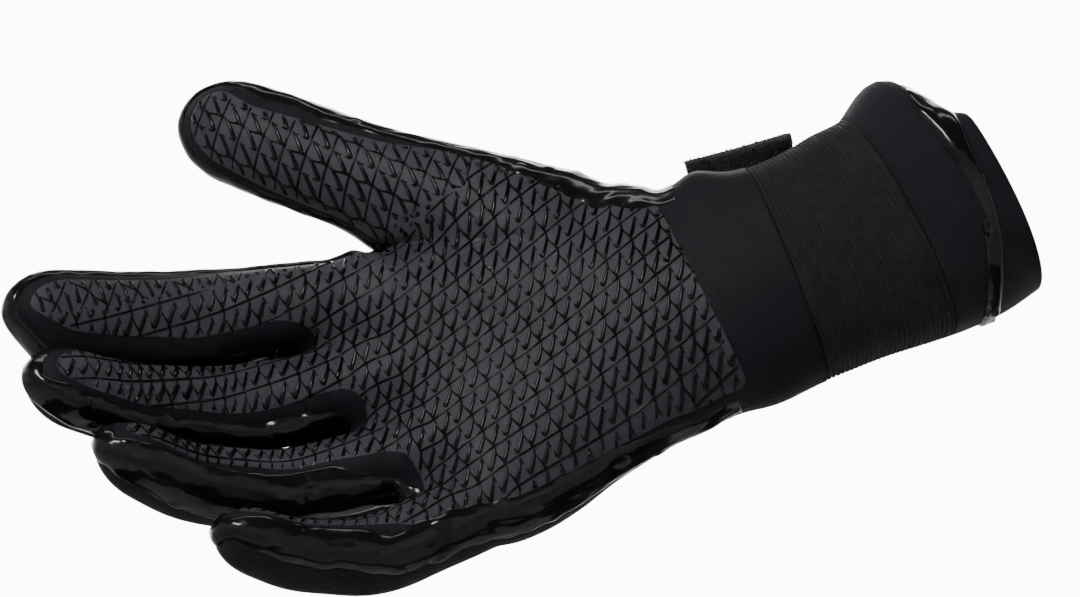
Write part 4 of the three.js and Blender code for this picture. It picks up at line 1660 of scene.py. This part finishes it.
def stripePiece():
    thumb = digits["thumb"]
    route = np.array(stripe["route"]) * [thumb["length"], thumb["width"]]
    length = np.concatenate([[0], np.cumsum(np.linalg.norm(np.diff(route, axis=0), axis=1))])
    table = np.column_stack([length, route])
    line = flow(table, np.linspace(0, length[-1], stripe["steps"]))[:, 1:]
    heading = np.gradient(line, axis=0)
    heading /= np.linalg.norm(heading, axis=1)[:, None]
    side = np.stack([-heading[:, 1], heading[:, 0]], axis=1)
    shares = np.linspace(-1, 1, stripe["across"])
    top, bottom = [], []
    for spot, across in zip(line, side):
        for share in shares:
            x, z = onFlat(thumb, *(spot + across * share * stripe["width"] / 2))
            hit, normal, _, _ = flatTree.ray_cast((x, 80, z), (0, -1, 0))
            hit, normal = np.array(hit), np.array(normal)
            top.append(hit + normal * (stripe["thickness"] * (1 - 0.45 * share**6)))
            bottom.append(hit - normal * stripe["sunk"])
    count, sides = len(line), len(shares)
    loops = np.concatenate([
        np.array(top).reshape(count, sides, 3), np.array(bottom).reshape(count, sides, 3)[:, ::-1]
    ], axis=1)
    points = loops.reshape(-1, 3)
    mesh = meshFrom("thumbStripe", points, tubeFaces(count, sides * 2))
    intoPose(mesh, points)
    finish = clothFinish("redStripe", redStripe)
    return finished(mesh, "thumbStripe", finish, ["thumb_stripe"])


redStripe = {
    "colour": (0.3, 0.006, 0.02, 1),
    "light": (0.38, 0.009, 0.027, 1),
    "knitPerMm": 1.8,
    "depth": 0.0001,
    "spread": 0.12,
    "roughness": 0.42,
    "specular": 0.5,
}
stripePiece()
print("stripe")

# Floor and light
studio = {
    "floorDrop": 0.4,  # under the lowest fingertip
    "radius": 7.9,
    "curve": 2.5,
    "ringStep": 0.6,
    "arcSteps": 16,
    "wallHeight": 6.5,
    "sides": 72,
    "world": 0.05,
    "pale": (0.87, 0.87, 0.87, 1),
    "paler": (0.9, 0.9, 0.9, 1),
}
# name, place, where it points, size, power
gloveMiddle = (-0.12, 0, -0.03)
lightRows = [
    ("keyLight", (-0.6, -0.75, 0.85), gloveMiddle, (0.36, 0.26), 14.0),
    ("topLight", (-0.1, 0.25, 1.0), gloveMiddle, (1.0, 0.12), 3.0),
    ("fillLight", (0.7, -1.5, 0.3), gloveMiddle, (0.7, 0.7), 0.7),
    ("backdropLight", (0.0, 4.5, 2.4), (0.0, 7.9, 0.2), (3.0, 0.8), 1500.0),
]


# A round floor that curves up into a wall, far enough out for any camera
def addFloor():
    low = min((item.matrix_world @ Vector(c)).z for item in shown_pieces() for c in item.bound_box)
    floorZ = low - studio["floorDrop"]
    radius, curve = studio["radius"], studio["curve"]
    step, arc = studio["ringStep"], studio["arcSteps"]
    profile = [(step * k, 0.0) for k in range(1, int((radius - curve) / step))]
    for k in range(arc + 1):
        angle = math.radians(k * 90 / arc)
        profile.append((radius - curve + curve * math.sin(angle), curve - curve * math.cos(angle)))
    profile.append((radius, studio["wallHeight"]))
    sides = studio["sides"]
    points = [(0.0, 0.0, floorZ)]
    for r, z in profile:
        points += [(r * math.cos(t), r * math.sin(t), floorZ + z) for t in around(sides)[0]]
    faces = [[0, 1 + i, 1 + (i + 1) % sides] for i in range(sides)]
    faces += gridFaces(len(profile), sides, 1)[:, ::-1].tolist()
    mesh = meshFrom("floor", points, faces)
    smoothShaded(mesh)
    item, nodes, links, shader = material("paleFloor")
    place = nodes.new("ShaderNodeTexCoord")
    cloud = addNode(nodes, "ShaderNodeTexNoise", Scale=3.0, Detail=2.0)
    links.new(place.outputs["Object"], cloud.inputs["Vector"])
    mixed(nodes, links, studio["pale"], studio["paler"], cloud, shader.inputs["Base Color"])
    shader.inputs["Roughness"].default_value = 0.9
    mesh.materials.append(item)
    objectFrom("floor", mesh)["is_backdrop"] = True


def addLight(name, place, target, size, power):
    data = bpy.data.lights.new(name, "AREA")
    data.shape = "RECTANGLE"
    data.size, data.size_y = size
    data.energy = power
    item = bpy.data.objects.new(name, data)
    item.location = place
    direction = Vector(target) - Vector(place)
    item.rotation_euler = direction.to_track_quat("-Z", "Y").to_euler()
    item.visible_camera = False
    bpy.context.scene.collection.objects.link(item)


def addLights():
    for row in lightRows:
        addLight(*row)
    world = bpy.data.worlds.new("studio")
    world.use_nodes = True
    back = world.node_tree.nodes["Background"]
    back.inputs["Color"].default_value = (1, 1, 1, 1)
    back.inputs["Strength"].default_value = studio["world"]
    bpy.context.scene.world = world


addFloor()
addLights()
print("stage")
